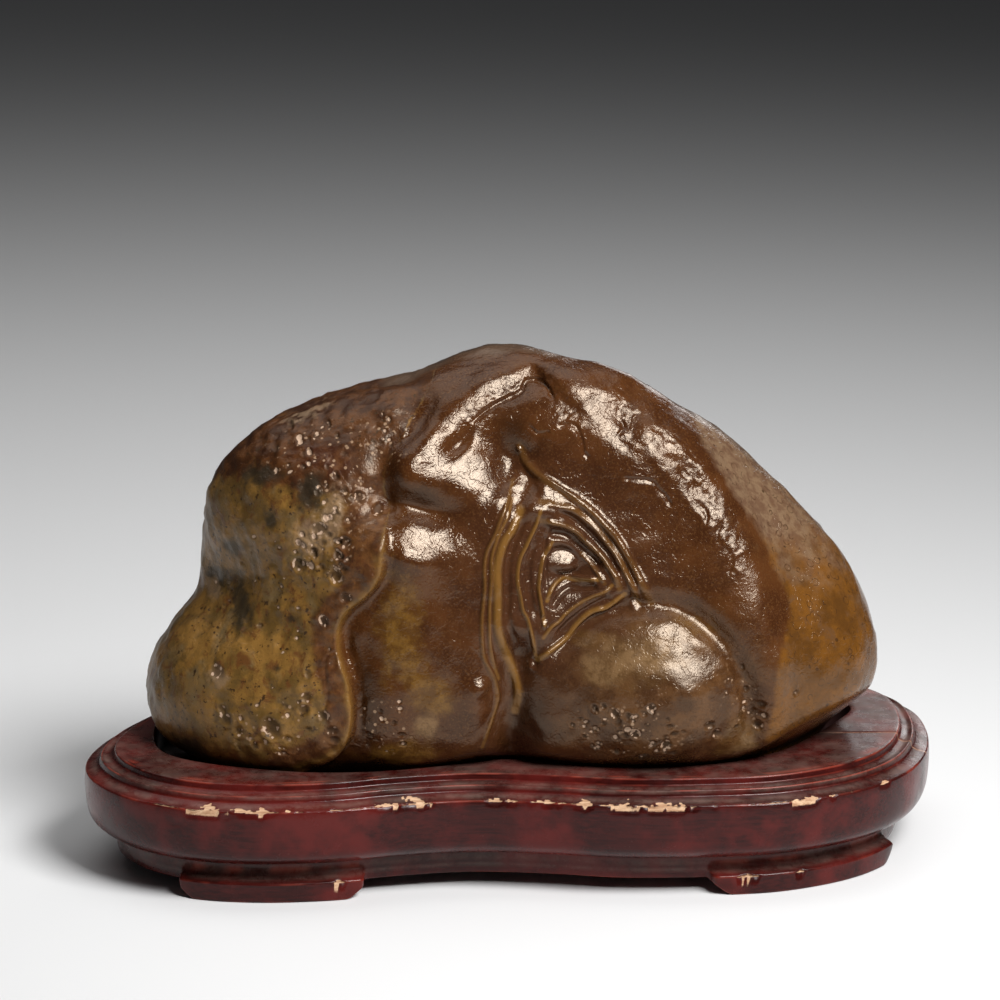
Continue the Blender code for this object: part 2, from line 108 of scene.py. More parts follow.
DENTS = [  # x, height, half width, half height and depth of the knocks in the side
    (-131, 33.0, 4.0, 1.2, 0.5), (-119.5, 31.0, 1.2, 0.9, 0.5), (-124, 28.5, 2.0, 0.7, 0.3),
    (63, 36.0, 3.0, 0.8, 0.3), (118, 30.5, 2.5, 0.8, 0.25),
]
SPLIT_PLACE = (169, -10)  # where the split across the deck's right end meets the outline
SPLIT_HALF_WIDTH = 0.45
SPLIT_BOTTOM = 36.0
SPLIT_DEPTH = 0.6
SPLIT_DEPTH_BOTTOM = 40.0  # below this the split is a line, and not a groove
SPLIT_STATIONS = (-1.2, -0.35, 0, 0.35, 1.2)  # extra section lines beside the split
SPLIT_CLEARANCE = 1.5
# on the deck the pale film is dust and a painted grey sheen
DECK_DUST_AND_SHEEN = 0.7
DUST_HOLLOWS = [  # height, half height and amount of the dust that stays in the hollows
    (43.3, 0.5, 1.0), (40.2, 0.6, 1.0), (12.5, 1.2, 1.0), (9.3, 0.7, 0.8),
]

# ---------------------------------------------------------------- stone, driving dimensions
STONE_OUTLINE = [  # seen from the front: x and height
    (147, 85), (141, 105), (131, 123), (117, 140), (103.5, 152.5), (90, 165.5), (72, 178.5),
    (43, 192.5), (19, 202), (-5, 206), (-19, 203.5), (-36, 197), (-56, 191), (-75, 185.5),
    (-94, 178), (-110, 164), (-120, 149), (-124, 134), (-125.5, 118), (-128, 105),
    (-138, 92), (-146, 79), (-149, 65), (-145, 52), (-132, 42), (-100, 36),
    (-50, 34), (0, 34), (50, 34), (100, 36), (131, 45), (143.5, 62),
]
STONE_MIDDLE = (0.0, 80.0)
FRONT_DEPTH = 61.0
BACK_DEPTH = 65.0
UPPER_FULLNESS = 1.9  # how square the section is, where 2 is round
LOWER_FULLNESS = 3.0
EVENING = 1.4  # draws more of the sphere's points to the stone's broad faces
SOCKET_GAP = 0.8
END_GAP = 1.6
STONE_REST = SOCKET_FLOOR + 0.3
OVERHANG_SLOPE = 2.4  # how far the stone may lean out for each millimetre above the deck
END_OVERHANG_SLOPE = 1.3
FOOT_TAPER = 0.45
SEAT_BLEND = 2.0
SWELLS = [  # face, x, height, half width, half height, turn in degrees, lift
    ("front", -104, 72, 28, 28, 0, 7.0),
    ("front", -112, 118, 26, 13, 30, -6.0),
    ("front", -86, 152, 34, 26, 0, 8.5),
    ("front", -82, 186, 11, 6, 20, -3.0),
    ("front", -42, 172, 30, 20, 0, 7.0),
    ("front", -44, 133, 22, 14, 0, 6.5),
    ("front", -44, 84, 26, 36, 0, 4.5),
    ("front", -15, 79, 6, 8, 0, 2.5),
    ("front", 22, 124, 22, 25, 0, -7.0),
    ("front", 24, 128, 7, 8, -40, -4.5),
    ("front", 13, 117, 5, 8, 0, 1.5),
    ("front", 57, 74, 30, 25, 0, 12.0),
    ("front", 125, 88, 26, 34, 0, 4.0),
    ("back", -72, 118, 40, 36, 0, 7.0),
    ("back", 42, 104, 44, 38, 0, 9.0),
    ("back", -14, 148, 26, 24, 0, -7.0),
    ("back", -22, 74, 24, 26, 0, -6.0),
    ("back", 104, 70, 28, 30, 0, 6.0),
    ("back", -108, 70, 24, 22, 0, 5.0),
]
RIDGE = [
    (-4, 196), (10, 196), (25, 193), (40, 187), (53, 177), (65, 166), (77, 150), (86, 134),
    (92, 118), (96, 101), (99, 84), (101, 66),
]
RIDGE_FADE = 45.0  # over how far it rises at its ends
BROAD_FOLDS = [  # face, lift, half width on its left and right, then the line's points
    ("front", 8.0, 11.0, 17.0, RIDGE),
]
FACETS = [  # x, height, half width, half height, turn, the degrees it looks to the right and up, lift
    (-27, 172, 25, 19, 15, 17, 30, 0.5),
    (-4, 194, 19, 7, 20, 17, 31, -1.2),
    (36, 188, 24, 6, -30, 17, 31, 0.0),
    (60, 170, 16, 5.5, -48, 17, 30, 0.0),
    (77, 149, 17, 5.5, -60, 17, 30, 0.0),
    (-37, 139, 13, 9, 0, 17, 30, 0.5),
    (10, 156, 14, 8, -25, 17, 30, 0.0),
    (71, 87, 9, 9, 0, 17, 30, 0.2),
    (-12, 83, 2.6, 3.4, 0, 17, 30, 0.8),
    (36, 163, 27, 13, -38, 0, 9, 0.0),
    (19, 130, 6, 4.5, -20, 17, 30, 1.0),
]
HOLLOWS = [  # face, x, height, half width, half height, turn in degrees, lift
    ("front", -38, 154, 15, 5.5, -20, -6.0),
    ("front", -22, 175, 6.5, 2.8, 42, -3.0),
]
FOLDS = [  # face, lift, half width on its left and right, then the line's points (from above for the top)
    ("front", -5.5, 6.0, 6.0, [(-28, 194), (-36, 187), (-43, 180), (-49, 175), (-51, 165), (-51, 142)]),
    ("front", -8.0, 10.0, 11.0, [(4, 184), (2, 172), (1, 160), (1, 150)]),
    ("front", -4.5, 4.5, 4.5, [(12, 92), (30, 106), (50, 113), (68, 111), (84, 98), (93, 78), (95, 52)]),
    ("front", -8.0, 8.0, 8.0, [(4, 106), (0, 80), (0, 60), (1, 36)]),
    ("front", 3.0, 7.0, 7.0, [(105, 100), (103, 76), (100, 48)]),
    ("top", -3.0, 6.0, 6.0, [(-34, -16), (-48, -7), (-70, -2), (-98, 0)]),
    ("back", -6.0, 10.0, 10.0, [(-34, 196), (-30, 160), (-8, 120), (0, 60)]),
    ("back", 5.0, 12.0, 12.0, [(20, 190), (60, 160), (92, 120), (100, 60)]),
]
FOLD_FADE = 14.0  # over how far a fold rises at its ends
LEDGE = [  # the edge of the left lobe, which stands proud of the trunk: x and height
    (-48, 151), (-50, 143), (-50.5, 136), (-52, 127), (-57, 119), (-64, 112.5), (-68, 105),
    (-68, 95), (-65, 85), (-63.5, 75), (-64, 65), (-68, 57), (-76, 51), (-88, 46),
]
LEDGE_LIFT = 5.0
LEDGE_DROP = 1.2
LEDGE_FADE = 24.0
LEDGE_CREASE = 0.3  # of the lift, the hollow along the ledge's foot
LEDGE_CREASE_HALF_WIDTH = 2.5
LAYERS = [  # lift, half width, share of ochre, then the line's points: the nested layers and the strata
    (0.9, 0.8, 0.5, [(0, 160), (-2, 153), (-5, 146), (-7, 141), (-10, 135), (-11, 129), (-11, 120),
        (-12, 110), (-12, 101), (-11, 93), (-7, 84), (-6, 75), (-9, 65), (-12, 56)]),
    (0.8, 0.7, 0.7, [(0, 154), (-2, 148), (-5, 142), (-7, 137), (-8.3, 132), (-8.4, 124), (-9, 114),
        (-9, 101), (-8, 93), (-5.5, 84)]),
    (1.3, 1.8, 1.0, [(3, 150), (0, 143), (-3, 139), (-5, 134), (-6, 129), (-6, 122), (-6, 114),
        (-6, 107), (-4.5, 100), (-1, 90), (2, 79), (1, 70)]),
    (1.2, 0.8, 0.9, [(11, 150), (9, 144), (7, 140), (5, 136), (3, 132), (2, 127), (2, 122), (3, 117),
        (4, 112), (6, 108), (8, 100), (9, 93)]),
    (1.4, 0.8, 0.8, [(15.5, 137), (13, 133), (11.3, 129), (10.6, 124), (10.2, 120), (11, 115),
        (12.5, 106)]),
    (1.3, 0.9, 1.0, [(13.5, 115), (15, 119), (17.5, 121.5), (20.5, 122.5), (24, 122), (28, 122),
        (34, 122.5)]),
    (1.0, 0.8, 0.8, [(12, 101), (15, 105), (18, 107), (21, 110), (26, 113.5), (31, 116), (36, 118),
        (39, 120.5)]),
    (1.4, 1.1, 1.0, [(9.5, 92), (15, 96), (21, 100), (25, 105), (29, 109), (33, 111), (37, 112),
        (44, 117)]),
    (1.5, 1.6, 0.3, [(3, 173), (5, 167), (9, 163), (14, 160), (19, 156.5), (25, 153), (30, 149),
        (35, 144), (40, 139), (44, 133), (48, 126), (51, 120), (54.5, 113)]),
    (1.3, 1.3, 0.4, [(11, 153), (18, 152), (23, 150), (28, 146.5), (33, 142), (37, 137), (41, 132),
        (44, 126), (47, 120), (49, 113)]),
    (1.3, 1.3, 0.4, [(11, 146), (15, 145), (20, 143.5), (25, 140.5), (28, 137), (31, 134.5), (34, 132),
        (37, 128.5), (40, 124), (42, 119)]),
    (0.7, 0.9, 0.3, [(27, 132), (31, 128), (34, 124), (36, 121)]),
]
SMALL_FACETS = [  # as the facets, drawn after the layers
    (2, 156, 4.5, 7.5, -12, 17, 31, 0.0), (17, 155, 8.0, 3.2, -33, 17, 31, 0.0),
    (19.5, 130, 5.0, 3.6, -25, 17, 30, 0.0), (8, 90, 2.0, 2.6, -30, 17, 30, 0.2),
    (48, 113, 2.0, 3.4, 10, 17, 30, 0.2), (3, 172, 1.5, 1.5, 0, 17, 31, 0.2),
    (12.5, 107, 1.2, 2.4, 0, 17, 30, 0.2), (-27, 181, 2.6, 2.0, 0, 17, 31, 0.0),
    (-13, 83, 2.6, 3.4, 0, 17, 31, 0.6), (-42, 178, 2.4, 2.0, 0, 17, 31, 0.2),
]
GROOVES = [  # depth, half width, then the line's points: cracks, wrinkles and the hollows between layers
    (1.2, 1.6, [(5, 148), (2, 141), (-1, 134), (-2, 127), (-2, 117), (-2, 108), (2, 96)]),
    (0.8, 1.3, [(9, 138), (6.5, 131), (6, 124), (7, 116), (9, 108)]),
    (1.0, 1.2, [(24, 151), (30, 146), (35, 141), (40, 135), (45, 127), (49, 119)]),
    (1.3, 1.3, [(16, 149), (22, 147), (28, 142), (33, 137), (38, 131), (42, 124)]),
    (1.6, 2.2, [(13, 141), (20, 140), (26, 136), (31, 131), (36, 126)]),
    (1.2, 1.2, [(15, 111), (18, 116), (22, 118.5), (28, 119), (34, 120)]),
    (0.9, 1.1, [(17, 101), (22, 106), (27, 110), (33, 113.5), (39, 116.5)]),
    (1.0, 0.9, [(-17, 181), (-11, 186), (-5, 189), (3, 192), (6, 196), (13, 195), (17, 188)]),
    (0.7, 0.8, [(17, 181), (24, 181.5), (27, 176), (28, 171), (31, 168)]),
    (0.7, 0.8, [(42, 161), (54, 160), (57, 157), (60, 154), (63, 149)]),
    (0.6, 0.7, [(6, 181), (10, 178), (15, 179)]),
    (0.8, 0.9, [(13, 141), (12.5, 134), (12.8, 126), (13.5, 118)]),
    (0.5, 0.7, [(38, 187), (44, 181), (41, 176), (47, 172)]),
    (0.5, 0.7, [(55, 176), (58, 170), (66, 167), (68, 160)]),
    (0.5, 0.7, [(72, 160), (70, 154), (76, 148), (75, 141)]),
    (0.5, 0.7, [(84, 146), (80, 139), (86, 131), (84, 124)]),
    (0.4, 0.7, [(-64, 97), (-72, 92), (-72, 78), (-76, 66)]),
]
RINGS = [  # x, height and radius of the scaly rings
    (-32, 103, 6.2), (-26, 96, 6.5), (-25, 88, 5.0), (-36, 93, 4.5), (-17, 92, 4.5), (99, 100, 5.0),
    (101, 88, 4.5), (104, 112, 4.0), (-114, 75, 5.5), (-62, 60, 5.0),
]
RING_DEPTH = 0.3
RING_HALF_WIDTH = 0.6
BIG_PITS = [  # x, height, diameter, depth
    (-95, 65, 7.5, 1.6), (-117, 84, 5.5, 1.0), (-115, 70, 3.6, 0.8), (-113.5, 66.5, 4.6, 0.9),
    (-108, 62, 3.6, 0.8), (-82, 73, 4.0, 0.9), (-81, 78, 4.0, 0.8), (-80, 87, 3.2, 0.7),
    (-74, 71, 4.0, 0.8), (-71, 65, 3.6, 0.8), (-70, 61, 3.2, 0.7), (-74, 108, 4.0, 0.9),
    (-84, 128, 5.0, 1.3), (-76, 143, 5.0, 1.2), (-66, 139, 4.5, 1.2), (-69, 126, 5.5, 1.3),
    (-65, 118, 4.0, 1.0), (-60, 155, 4.5, 1.0), (-53, 150, 4.0, 1.0), (-68, 134, 4.0, 1.1),
    (48, 65, 4.0, 1.2), (40, 73, 3.6, 1.1), (60, 60, 4.2, 1.2), (54, 76, 3.4, 1.0), (77, 67, 3.4, 1.0),
    (80, 63, 3.4, 1.0), (98, 73, 3.2, 0.9), (97, 64, 3.8, 1.0), (99, 68, 3.2, 0.9), (112, 76, 2.6, 0.7),
]
GRITTY_FIELDS = [  # the pits with pale grains: x, height, half width, half height, turn, count, widest
    (46, 65, 23, 12, -8, 64, 3.2),
    (90, 76, 7, 16, 10, 14, 2.6),
    (-72, 137, 15, 11, 35, 40, 3.4),
    (-66, 160, 12, 9, 20, 18, 2.8),
    (-82, 171, 20, 9, 18, 26, 2.8),
    (-50, 176, 9, 10, 0, 12, 2.2),
    (-92, 64, 20, 13, 10, 22, 2.6),
    (-50, 66, 10, 13, 0, 14, 2.4),
]
SPARSE_FIELDS = [(-105, 120, 18, 34, 0, 16, 2.0), (-88, 95, 18, 26, 0, 16, 2.0)]
PIT_SEED = 7
PIT_RIM = 0.22  # of a pit's depth, the swelling round it
CRUMBLY_PIT = 3.3  # above this diameter a pit has crumbs along its rim, and not in the middle
CREST_START = (-16, 193)
CREST_HALF_WIDTH = 11
CREST_REACH = 40
CREASE_DEPTH = 0.32
SKIN = [(0.35, 34, 1), (0.13, 12, 2), (0.07, 6, 3)]  # height, wavelength and seed of its unevenness
LOBE_SKIN = [(0.16, 9, 4), (0.1, 4.5, 5)]
BACK_LOBE_EDGE = -35  # where the lobe gives way to the trunk at the back
BACK_FLANK_EDGE = 55
UPPER_LOBE_BOTTOM = 140
CREST_BOTTOM = 150
VALLEY = [  # the rest of the left lobe's edge, above the ledge
    (-30, 200), (-35, 190), (-43, 178), (-50, 166), (-50, 156),
]
BROWN_EDGE = [  # where the brown gives way to the ochre right flank
    (58, 208), (70, 182), (83, 160), (95, 142), (103, 126), (109, 111), (107, 97), (104, 88),
    (103, 73), (100, 57), (97, 34),
]
STAINS = [  # x, height, half width, half height, turn: the green-black blotches of the left lobe
    (-108, 108, 5.0, 11.0, 8), (-119, 115, 6.0, 4.0, 0), (-79, 156, 6.0, 8.0, -20), (-111, 130, 5.5, 4.5, 0),
    (-95, 144, 3.0, 3.5, 0), (-87, 107, 2.5, 2.0, 0), (-129, 50, 8.0, 6.0, 0), (-100, 160, 9.0, 4.0, 15),
    (-92, 88, 1.8, 2.2, 0),
]
BLOOMS = [  # the pale, dull patches of the left lobe
    (-82, 183, 12, 3, 22), (-79, 139, 8, 9), (-70, 150, 4, 9), (-120, 110, 4, 4), (-116, 82, 5, 4),
]
OCHRE_PATCHES = [  # x, height, half width, half height
    (-30, 79, 8, 9), (-44, 54, 16, 6), (30, 100, 8, 3), (62, 104, 18, 5), (60, 47, 34, 7), (88, 56, 8, 14),
    (-44, 104, 9, 24), (47, 90, 15, 8),
]
HONEY_PATCHES = [(50, 96, 20, 6), (34, 88, 8, 6), (-34, 66, 5, 6), (92, 52, 8, 8)]
RUSSET_PATCHES = [(-53, 151, 11, 9), (-60, 134, 10, 17), (-70, 84, 5, 30), (-76, 168, 16, 7)]
# where a grey-brown sheen is painted over the flank's top: x, height, half width, half height, turn
FLANK_SHEEN_PLACE = (86, 164, 66, 18, -47)
BELLY = (56, 72, 36, 32)
BANDED = (16, 122, 30, 34)  # the darker middle of the nested layers
# painted shade: darker patches in the notch at the bottom middle, the hollow right of the trunk's top, beside
# the ledge's foot and in the waist under the trunk's top: x, height, half width, half height
PAINTED_SHADE_PATCHES = [(0, 56, 11, 13), (10, 70, 9, 14), (0, 178, 5, 9), (-56, 74, 4, 22), (-36, 156, 9, 5)]
SPHERE_LEVEL = 7
FINE_REACH = 4.2  # the mesh is split once this near to the relief
FINEST_REACH = 2.0  # and twice this near to it
FAR = 1e9  # a distance beyond anything on the stone


# ---------------------------------------------------------------- curves, distances and noise
def smooth_line(points, steps, closed):
    """Points along the Catmull-Rom curve through the given ones."""
    points = np.array(points, float)
    if closed:
        padded = np.vstack([points[-1], points, points[:2]])
    else:
        padded = np.vstack([2 * points[0] - points[1], points, 2 * points[-1] - points[-2]])
    t = np.linspace(0, 1, steps, endpoint=False)[:, None]
    runs = []
    for i in range(len(padded) - 3):
        a, b, c, d = padded[i:i + 4]
        runs.append(0.5 * (2 * b + (c - a) * t + (2 * a - 5 * b + 4 * c - d) * t ** 2
                           + (3 * b - a - 3 * c + d) * t ** 3))
    if not closed:
        runs.append(points[-1:])
    return np.vstack(runs)


def smoothstep(t):
    t = np.clip(t, 0, 1)
    return t * t * (3 - 2 * t)


def polar_radius(curve, middle, angles):
    """The distance from the middle to a closed curve round it, in each direction."""
    offset = curve - np.array(middle)
    at = np.arctan2(offset[:, 1], offset[:, 0])
    order = np.argsort(at)
    return np.interp(angles, at[order], np.hypot(*offset[order].T), period=2 * math.pi)


def line_distance(points, line):
    """Each point's distance from an open line, its side (+ on the left), and how far along it is."""
    best = np.full(len(points), FAR)
    side = np.zeros(len(points))
    along = np.zeros(len(points))
    lengths = np.hypot(*np.diff(line, axis=0).T)
    starts = np.concatenate([[0], np.cumsum(lengths)])
    for i, length in enumerate(lengths):
        direction = (line[i + 1] - line[i]) / length
        offset = points - line[i]
        run = np.clip(offset @ direction, 0, length)
        gap = offset - run[:, None] * direction
        distance = np.hypot(*gap.T)
        nearer = distance < best
        best[nearer] = distance[nearer]
        side[nearer] = np.sign(direction[0] * offset[:, 1] - direction[1] * offset[:, 0])[nearer]
        along[nearer] = starts[i] + run[nearer]
    return best, side, along / starts[-1]


def near_line(points, line, reach):
    """line_distance, worked out only for the points inside the line's own box and this reach round it."""
    best = np.full(len(points), FAR)
    side = np.zeros(len(points))
    along = np.zeros(len(points))
    low = line.min(axis=0) - reach
    high = line.max(axis=0) + reach
    close = np.all((points > low) & (points < high), axis=1)
    if close.any():
        best[close], side[close], along[close] = line_distance(points[close], line)
    return best, side, along


def oval(points, x, height, half_width, half_height, turn=0):
    """0 at the middle of an oval on the front, 1 at its edge and growing beyond it."""
    cos, sin = math.cos(math.radians(turn)), math.sin(math.radians(turn))
    across, up = points[:, 0] - x, points[:, 2] - height
    return ((across * cos + up * sin) / half_width) ** 2 + ((up * cos - across * sin) / half_height) ** 2


def blob(points, x, height, half_width, half_height, turn=0):
    """1 at the middle of a soft oval on the front, fading to 0 round it."""
    return np.exp(-oval(points, x, height, half_width, half_height, turn))


def blobs(points, ovals):
    """Soft ovals, added up."""
    return sum(blob(points, *each) for each in ovals)


def waves(points, wavelength, seed):
    """Smooth irregular values of about -2 to 2 through space, the same on every run."""
    random = np.random.default_rng(seed)
    total = np.zeros(len(points))
    for _ in range(20):
        direction = random.normal(size=3)
        direction *= 2 * math.pi / (np.linalg.norm(direction) * wavelength * random.uniform(0.7, 1.4))
        total += np.sin(points @ direction + random.uniform(0, 2 * math.pi))
    return total / math.sqrt(10)


def unevenness(points, layers):
    """Waves laid over each other, each with its height, wavelength and seed."""
    return sum(height * waves(points, wavelength, seed) for height, wavelength, seed in layers)


# ---------------------------------------------------------------- stone, its form
def pillow(directions):
    """The stone's plain mass: its outline, rounded over to the front and the back."""
    evened = directions * (1, EVENING, 1)
    x, y, z = (evened / np.linalg.norm(evened, axis=1)[:, None]).T
    across = np.hypot(x, z)
    angle = np.arctan2(z, x)
    low = smoothstep(0.5 - 0.8 * z)
    fullness = UPPER_FULLNESS + (LOWER_FULLNESS - UPPER_FULLNESS) * low
    scale = (across ** fullness + np.abs(y) ** fullness) ** (-1 / fullness)
    reach = across * scale * polar_radius(smooth_line(STONE_OUTLINE, 12, True), STONE_MIDDLE, angle)
    depth = np.where(y < 0, FRONT_DEPTH, BACK_DEPTH)
    return np.stack([
        STONE_MIDDLE[0] + reach * np.cos(angle),
        y * scale * depth,
        STONE_MIDDLE[1] + reach * np.sin(angle),
    ], axis=1)


def vertex_normals(points, triangles):
    corners = points[triangles]
    faces = np.cross(corners[:, 1] - corners[:, 0], corners[:, 2] - corners[:, 0])
    normals = np.zeros_like(points)
    for corner in range(3):
        np.add.at(normals, triangles[:, corner], faces)
    return normals / np.linalg.norm(normals, axis=1)[:, None]


def facing(normals, face):
    """1 where the stone looks to the front, the back or the top, fading to 0 past its outline."""
    towards = {"front": -normals[:, 1], "back": normals[:, 1], "top": normals[:, 2] - 0.3}[face]
    return smoothstep((towards + 0.1) / 0.5)


def seen(points, face):
    """The points as drawn on paper: from above for the top, else as from the front."""
    return points[:, [0, 1]] if face == "top" else points[:, [0, 2]]


def swell_lift(points, normals, swells):
    """The broad bulges and hollows."""
    lift = np.zeros(len(points))
    for face, x, height, half_width, half_height, turn, rise in swells:
        lift += rise * blob(points, x, height, half_width, half_height, turn) * facing(normals, face)
    return lift


def fold_lift(points, normals, folds, fade):
    """The ridges and the valleys between the broad forms."""
    lift = np.zeros(len(points))
    for face, rise, left_width, right_width, line in folds:
        curve = smooth_line(line, 6, False)
        length = np.hypot(*np.diff(curve, axis=0).T).sum()
        distance, side, along = line_distance(seen(points, face), curve)
        half_width = np.where(side > 0, left_width, right_width)
        ends = smoothstep(along * length / fade) * smoothstep((1 - along) * length / fade)
        lift += rise * np.exp(-(distance / half_width) ** 2) * ends * facing(normals, face)
    return lift


def planed(points, normals, facets):
    """The points, with the facets of the front drawn flat."""
    planed_points = points.copy()
    front = facing(normals, "front")
    for x, height, half_width, half_height, turn, aside, upward, rise in facets:
        reach = oval(points, x, height, half_width, half_height, turn)
        middle = points[np.argmin(np.where(front > 0.5, reach, FAR)), 1]
        across, up = np.tan(np.radians([aside, upward])) * (1, 1 / math.cos(math.radians(aside)))
        plane = middle - rise + across * (points[:, 0] - x) + up * (points[:, 2] - height)
        planed_points[:, 1] += np.exp(-reach ** 2) * front * (plane - planed_points[:, 1])
    return planed_points


def ledge_lift(points, normals):
    """The left lobe's raised edge, which drops straight to the trunk."""
    distance, side, along = line_distance(points[:, [0, 2]], smooth_line(LEDGE, 6, False))
    outside = distance * side
    lobe = smoothstep(0.5 - (outside - LEDGE_DROP) / (2 * LEDGE_DROP))
    rise = np.exp(-(np.minimum(outside, 0) / LEDGE_FADE) ** 2) * lobe
    crease = np.exp(-((outside - 3 * LEDGE_DROP) / LEDGE_CREASE_HALF_WIDTH) ** 2) * (1 - lobe)
    return LEDGE_LIFT * (rise - LEDGE_CREASE * crease) * smoothstep(along * 5) * facing(normals, "front")


def drawn_lines():
    """Each fine line of the front: lift, half width and points."""
    raised = [(rise, half_width, line) for rise, half_width, _, line in LAYERS]
    return raised + [(-depth, half_width, line) for depth, half_width, line in GROOVES]


def line_lift(points, normals):
    """The nested layers, the strata, the cracks and the scaly rings."""
    flat = points[:, [0, 2]]
    lift = np.zeros(len(points))
    for rise, half_width, line in drawn_lines():
        distance, _, along = near_line(flat, smooth_line(line, 8, False), 4 * half_width)
        ends = smoothstep(along * 8) * smoothstep((1 - along) * 8)
        lift += rise * np.exp(-(distance / half_width) ** 3) * ends
    for x, height, radius in RINGS:
        off_ring = np.abs(np.hypot(flat[:, 0] - x, flat[:, 1] - height) - radius)
        broken = smoothstep(0.8 + waves(points, 9, int(radius * 10)))
        lift -= RING_DEPTH * np.exp(-(off_ring / RING_HALF_WIDTH) ** 2) * broken
    return lift * facing(normals, "front")


def all_pits():
    """The placed pits and the scattered ones: x, height, diameter, depth."""
    random = np.random.default_rng(PIT_SEED)
    pits = list(BIG_PITS)
    for x, height, half_width, half_height, turn, count, widest in GRITTY_FIELDS + SPARSE_FIELDS:
        cos, sin = math.cos(math.radians(turn)), math.sin(math.radians(turn))
        for _ in range(count):
            out, angle = math.sqrt(random.uniform()), random.uniform(0, 2 * math.pi)
            across, up = half_width * out * math.cos(angle), half_height * out * math.sin(angle)
            diameter = widest * random.uniform(0.4, 1) ** 1.3
            pits.append((x + across * cos - up * sin, height + across * sin + up * cos,
                         diameter, diameter * random.uniform(0.2, 0.34)))
    return pits


PITS = all_pits()


def pit_reach(points, pit):
    """How far each point is from a pit's middle, with 1 at its rim; pits are a little oval."""
    x, height, diameter, _ = pit
    lean = 0.5 * math.sin(37 * x + 11 * height)
    across, up = points[:, 0] - x, points[:, 2] - height
    return np.hypot(across * (1 + 0.3 * lean) + up * lean * 0.4, up * (1 - 0.2 * lean)) / (diameter / 2)


def pit_lift(points, normals):
    """The pits, each with a low swelling round it."""
    lift = np.zeros(len(points))
    for pit in PITS:
        reach = pit_reach(points, pit)
        rim = np.exp(-((reach - 1.25) / 0.35) ** 2)
        lift += pit[3] * (PIT_RIM * rim - np.exp(-reach ** 4))
    return lift * facing(normals, "front")


def ridge_band(points):
    """1 along the crest that runs from the top down the right, where the skin is wrinkled."""
    line = smooth_line([CREST_START] + RIDGE, 6, False)
    crest = near_line(points[:, [0, 2]], line, CREST_REACH)[0]
    return np.exp(-(crest / CREST_HALF_WIDTH) ** 2) * (points[:, 1] < 10)


def skin_lift(points, lobe):
    """Slow unevenness everywhere, a rougher lobe, and wrinkles along the crest."""
    lift = unevenness(points, SKIN) + lobe * unevenness(points, LOBE_SKIN)
    creases = np.exp(-(waves(points, 10, 6) / 0.14) ** 2) * smoothstep(waves(points, 9, 7) + 0.2)
    lift += ridge_band(points) * (0.08 * waves(points, 3.4, 8) - CREASE_DEPTH * creases)
    return lift


def seat_in_socket(points):
    """Keeps the stone's foot inside the socket, and cuts it flat on the socket's floor."""
    angle = np.arctan2(points[:, 1], points[:, 0])
    radius = np.hypot(points[:, 0], points[:, 1])
    edge = polar_radius(smooth_line(SOCKET_OUTLINE, 12, True), (0, 0), angle)
    above = points[:, 2] - DECK_TOP
    at_end = smoothstep((np.abs(np.cos(angle)) - 0.85) / 0.1)
    gap = SOCKET_GAP + (END_GAP - SOCKET_GAP) * at_end
    overhang = OVERHANG_SLOPE + (END_OVERHANG_SLOPE - OVERHANG_SLOPE) * at_end
    widest = edge - SOCKET_DRAFT - gap + np.where(above > 0, overhang, FOOT_TAPER) * above
    fitted = widest - SEAT_BLEND * np.logaddexp(0, (widest - radius) / SEAT_BLEND)
    shrink = np.where(radius > 1, fitted / np.maximum(radius, 1), 1)
    seated = points.copy()
    seated[:, :2] *= shrink[:, None]
    seated[:, 2] = np.maximum(points[:, 2], STONE_REST)
    return seated


def lobe_share(points):
    """1 on the left lobe, and 0 on the trunk."""
    line = smooth_line(VALLEY + LEDGE, 4, False)
    distance, side, _ = line_distance(points[:, [0, 2]], line)
    on_front = smoothstep(0.5 - distance * side / 2.4)
    on_back = smoothstep((BACK_LOBE_EDGE - points[:, 0] + 9 * waves(points, 55, 9)) / 24)
    return on_front + (on_back - on_front) * smoothstep(points[:, 1] / 20)


def shaped_stone(directions, triangles):
    """The finished surface in millimetres, for a sphere's points and triangles."""
    points = pillow(directions)
    base = vertex_normals(points, triangles)
    broad = swell_lift(points, base, SWELLS) + fold_lift(points, base, BROAD_FOLDS, RIDGE_FADE)
    points = planed(points + base * broad[:, None], base, FACETS)
    sharper = swell_lift(points, base, HOLLOWS) + fold_lift(points, base, FOLDS, FOLD_FADE)
    points = points + base * sharper[:, None]
    normals = vertex_normals(points, triangles)
    lobe = lobe_share(points)
    layers = ledge_lift(points, base) + line_lift(points, base)
    points = planed(points + normals * layers[:, None], base, SMALL_FACETS)
    fine = pit_lift(points, base) + skin_lift(points, lobe)
    return seat_in_socket(points + normals * fine[:, None])


# ---------------------------------------------------------------- stone, its colours
def flank_share(points):
    """1 on the ochre flank at the right, and 0 on the brown."""
    distance, side, _ = line_distance(points[:, [0, 2]], smooth_line(BROWN_EDGE, 4, False))
    flank = smoothstep(0.5 + distance * side / 9)
    behind = smoothstep((points[:, 0] - BACK_FLANK_EDGE + 9 * waves(points, 50, 11)) / 50)
    return flank + (behind - flank) * smoothstep(points[:, 1] / 24)


def strata_shares(points):
    """How ochre the layers' edges are, and how russet the band along the lobe's raised edge is."""
    flat = points[:, [0, 2]]
    strata = np.zeros(len(points))
    for _, half_width, ochre, line in LAYERS:
        reach = near_line(flat, smooth_line(line, 8, False), 4)[0]
        strata = np.maximum(strata, ochre * np.exp(-(reach / (0.9 * half_width)) ** 4))
    rim, side, along = near_line(flat, smooth_line(LEDGE, 6, False), 12)
    outside = rim * side
    strata = np.maximum(strata, 0.8 * np.exp(-outside ** 2) * smoothstep(along * 6))
    lip = np.exp(-((outside + 6) / 5) ** 2) * smoothstep(along * 6) * (rim < FAR)
    return strata, lip


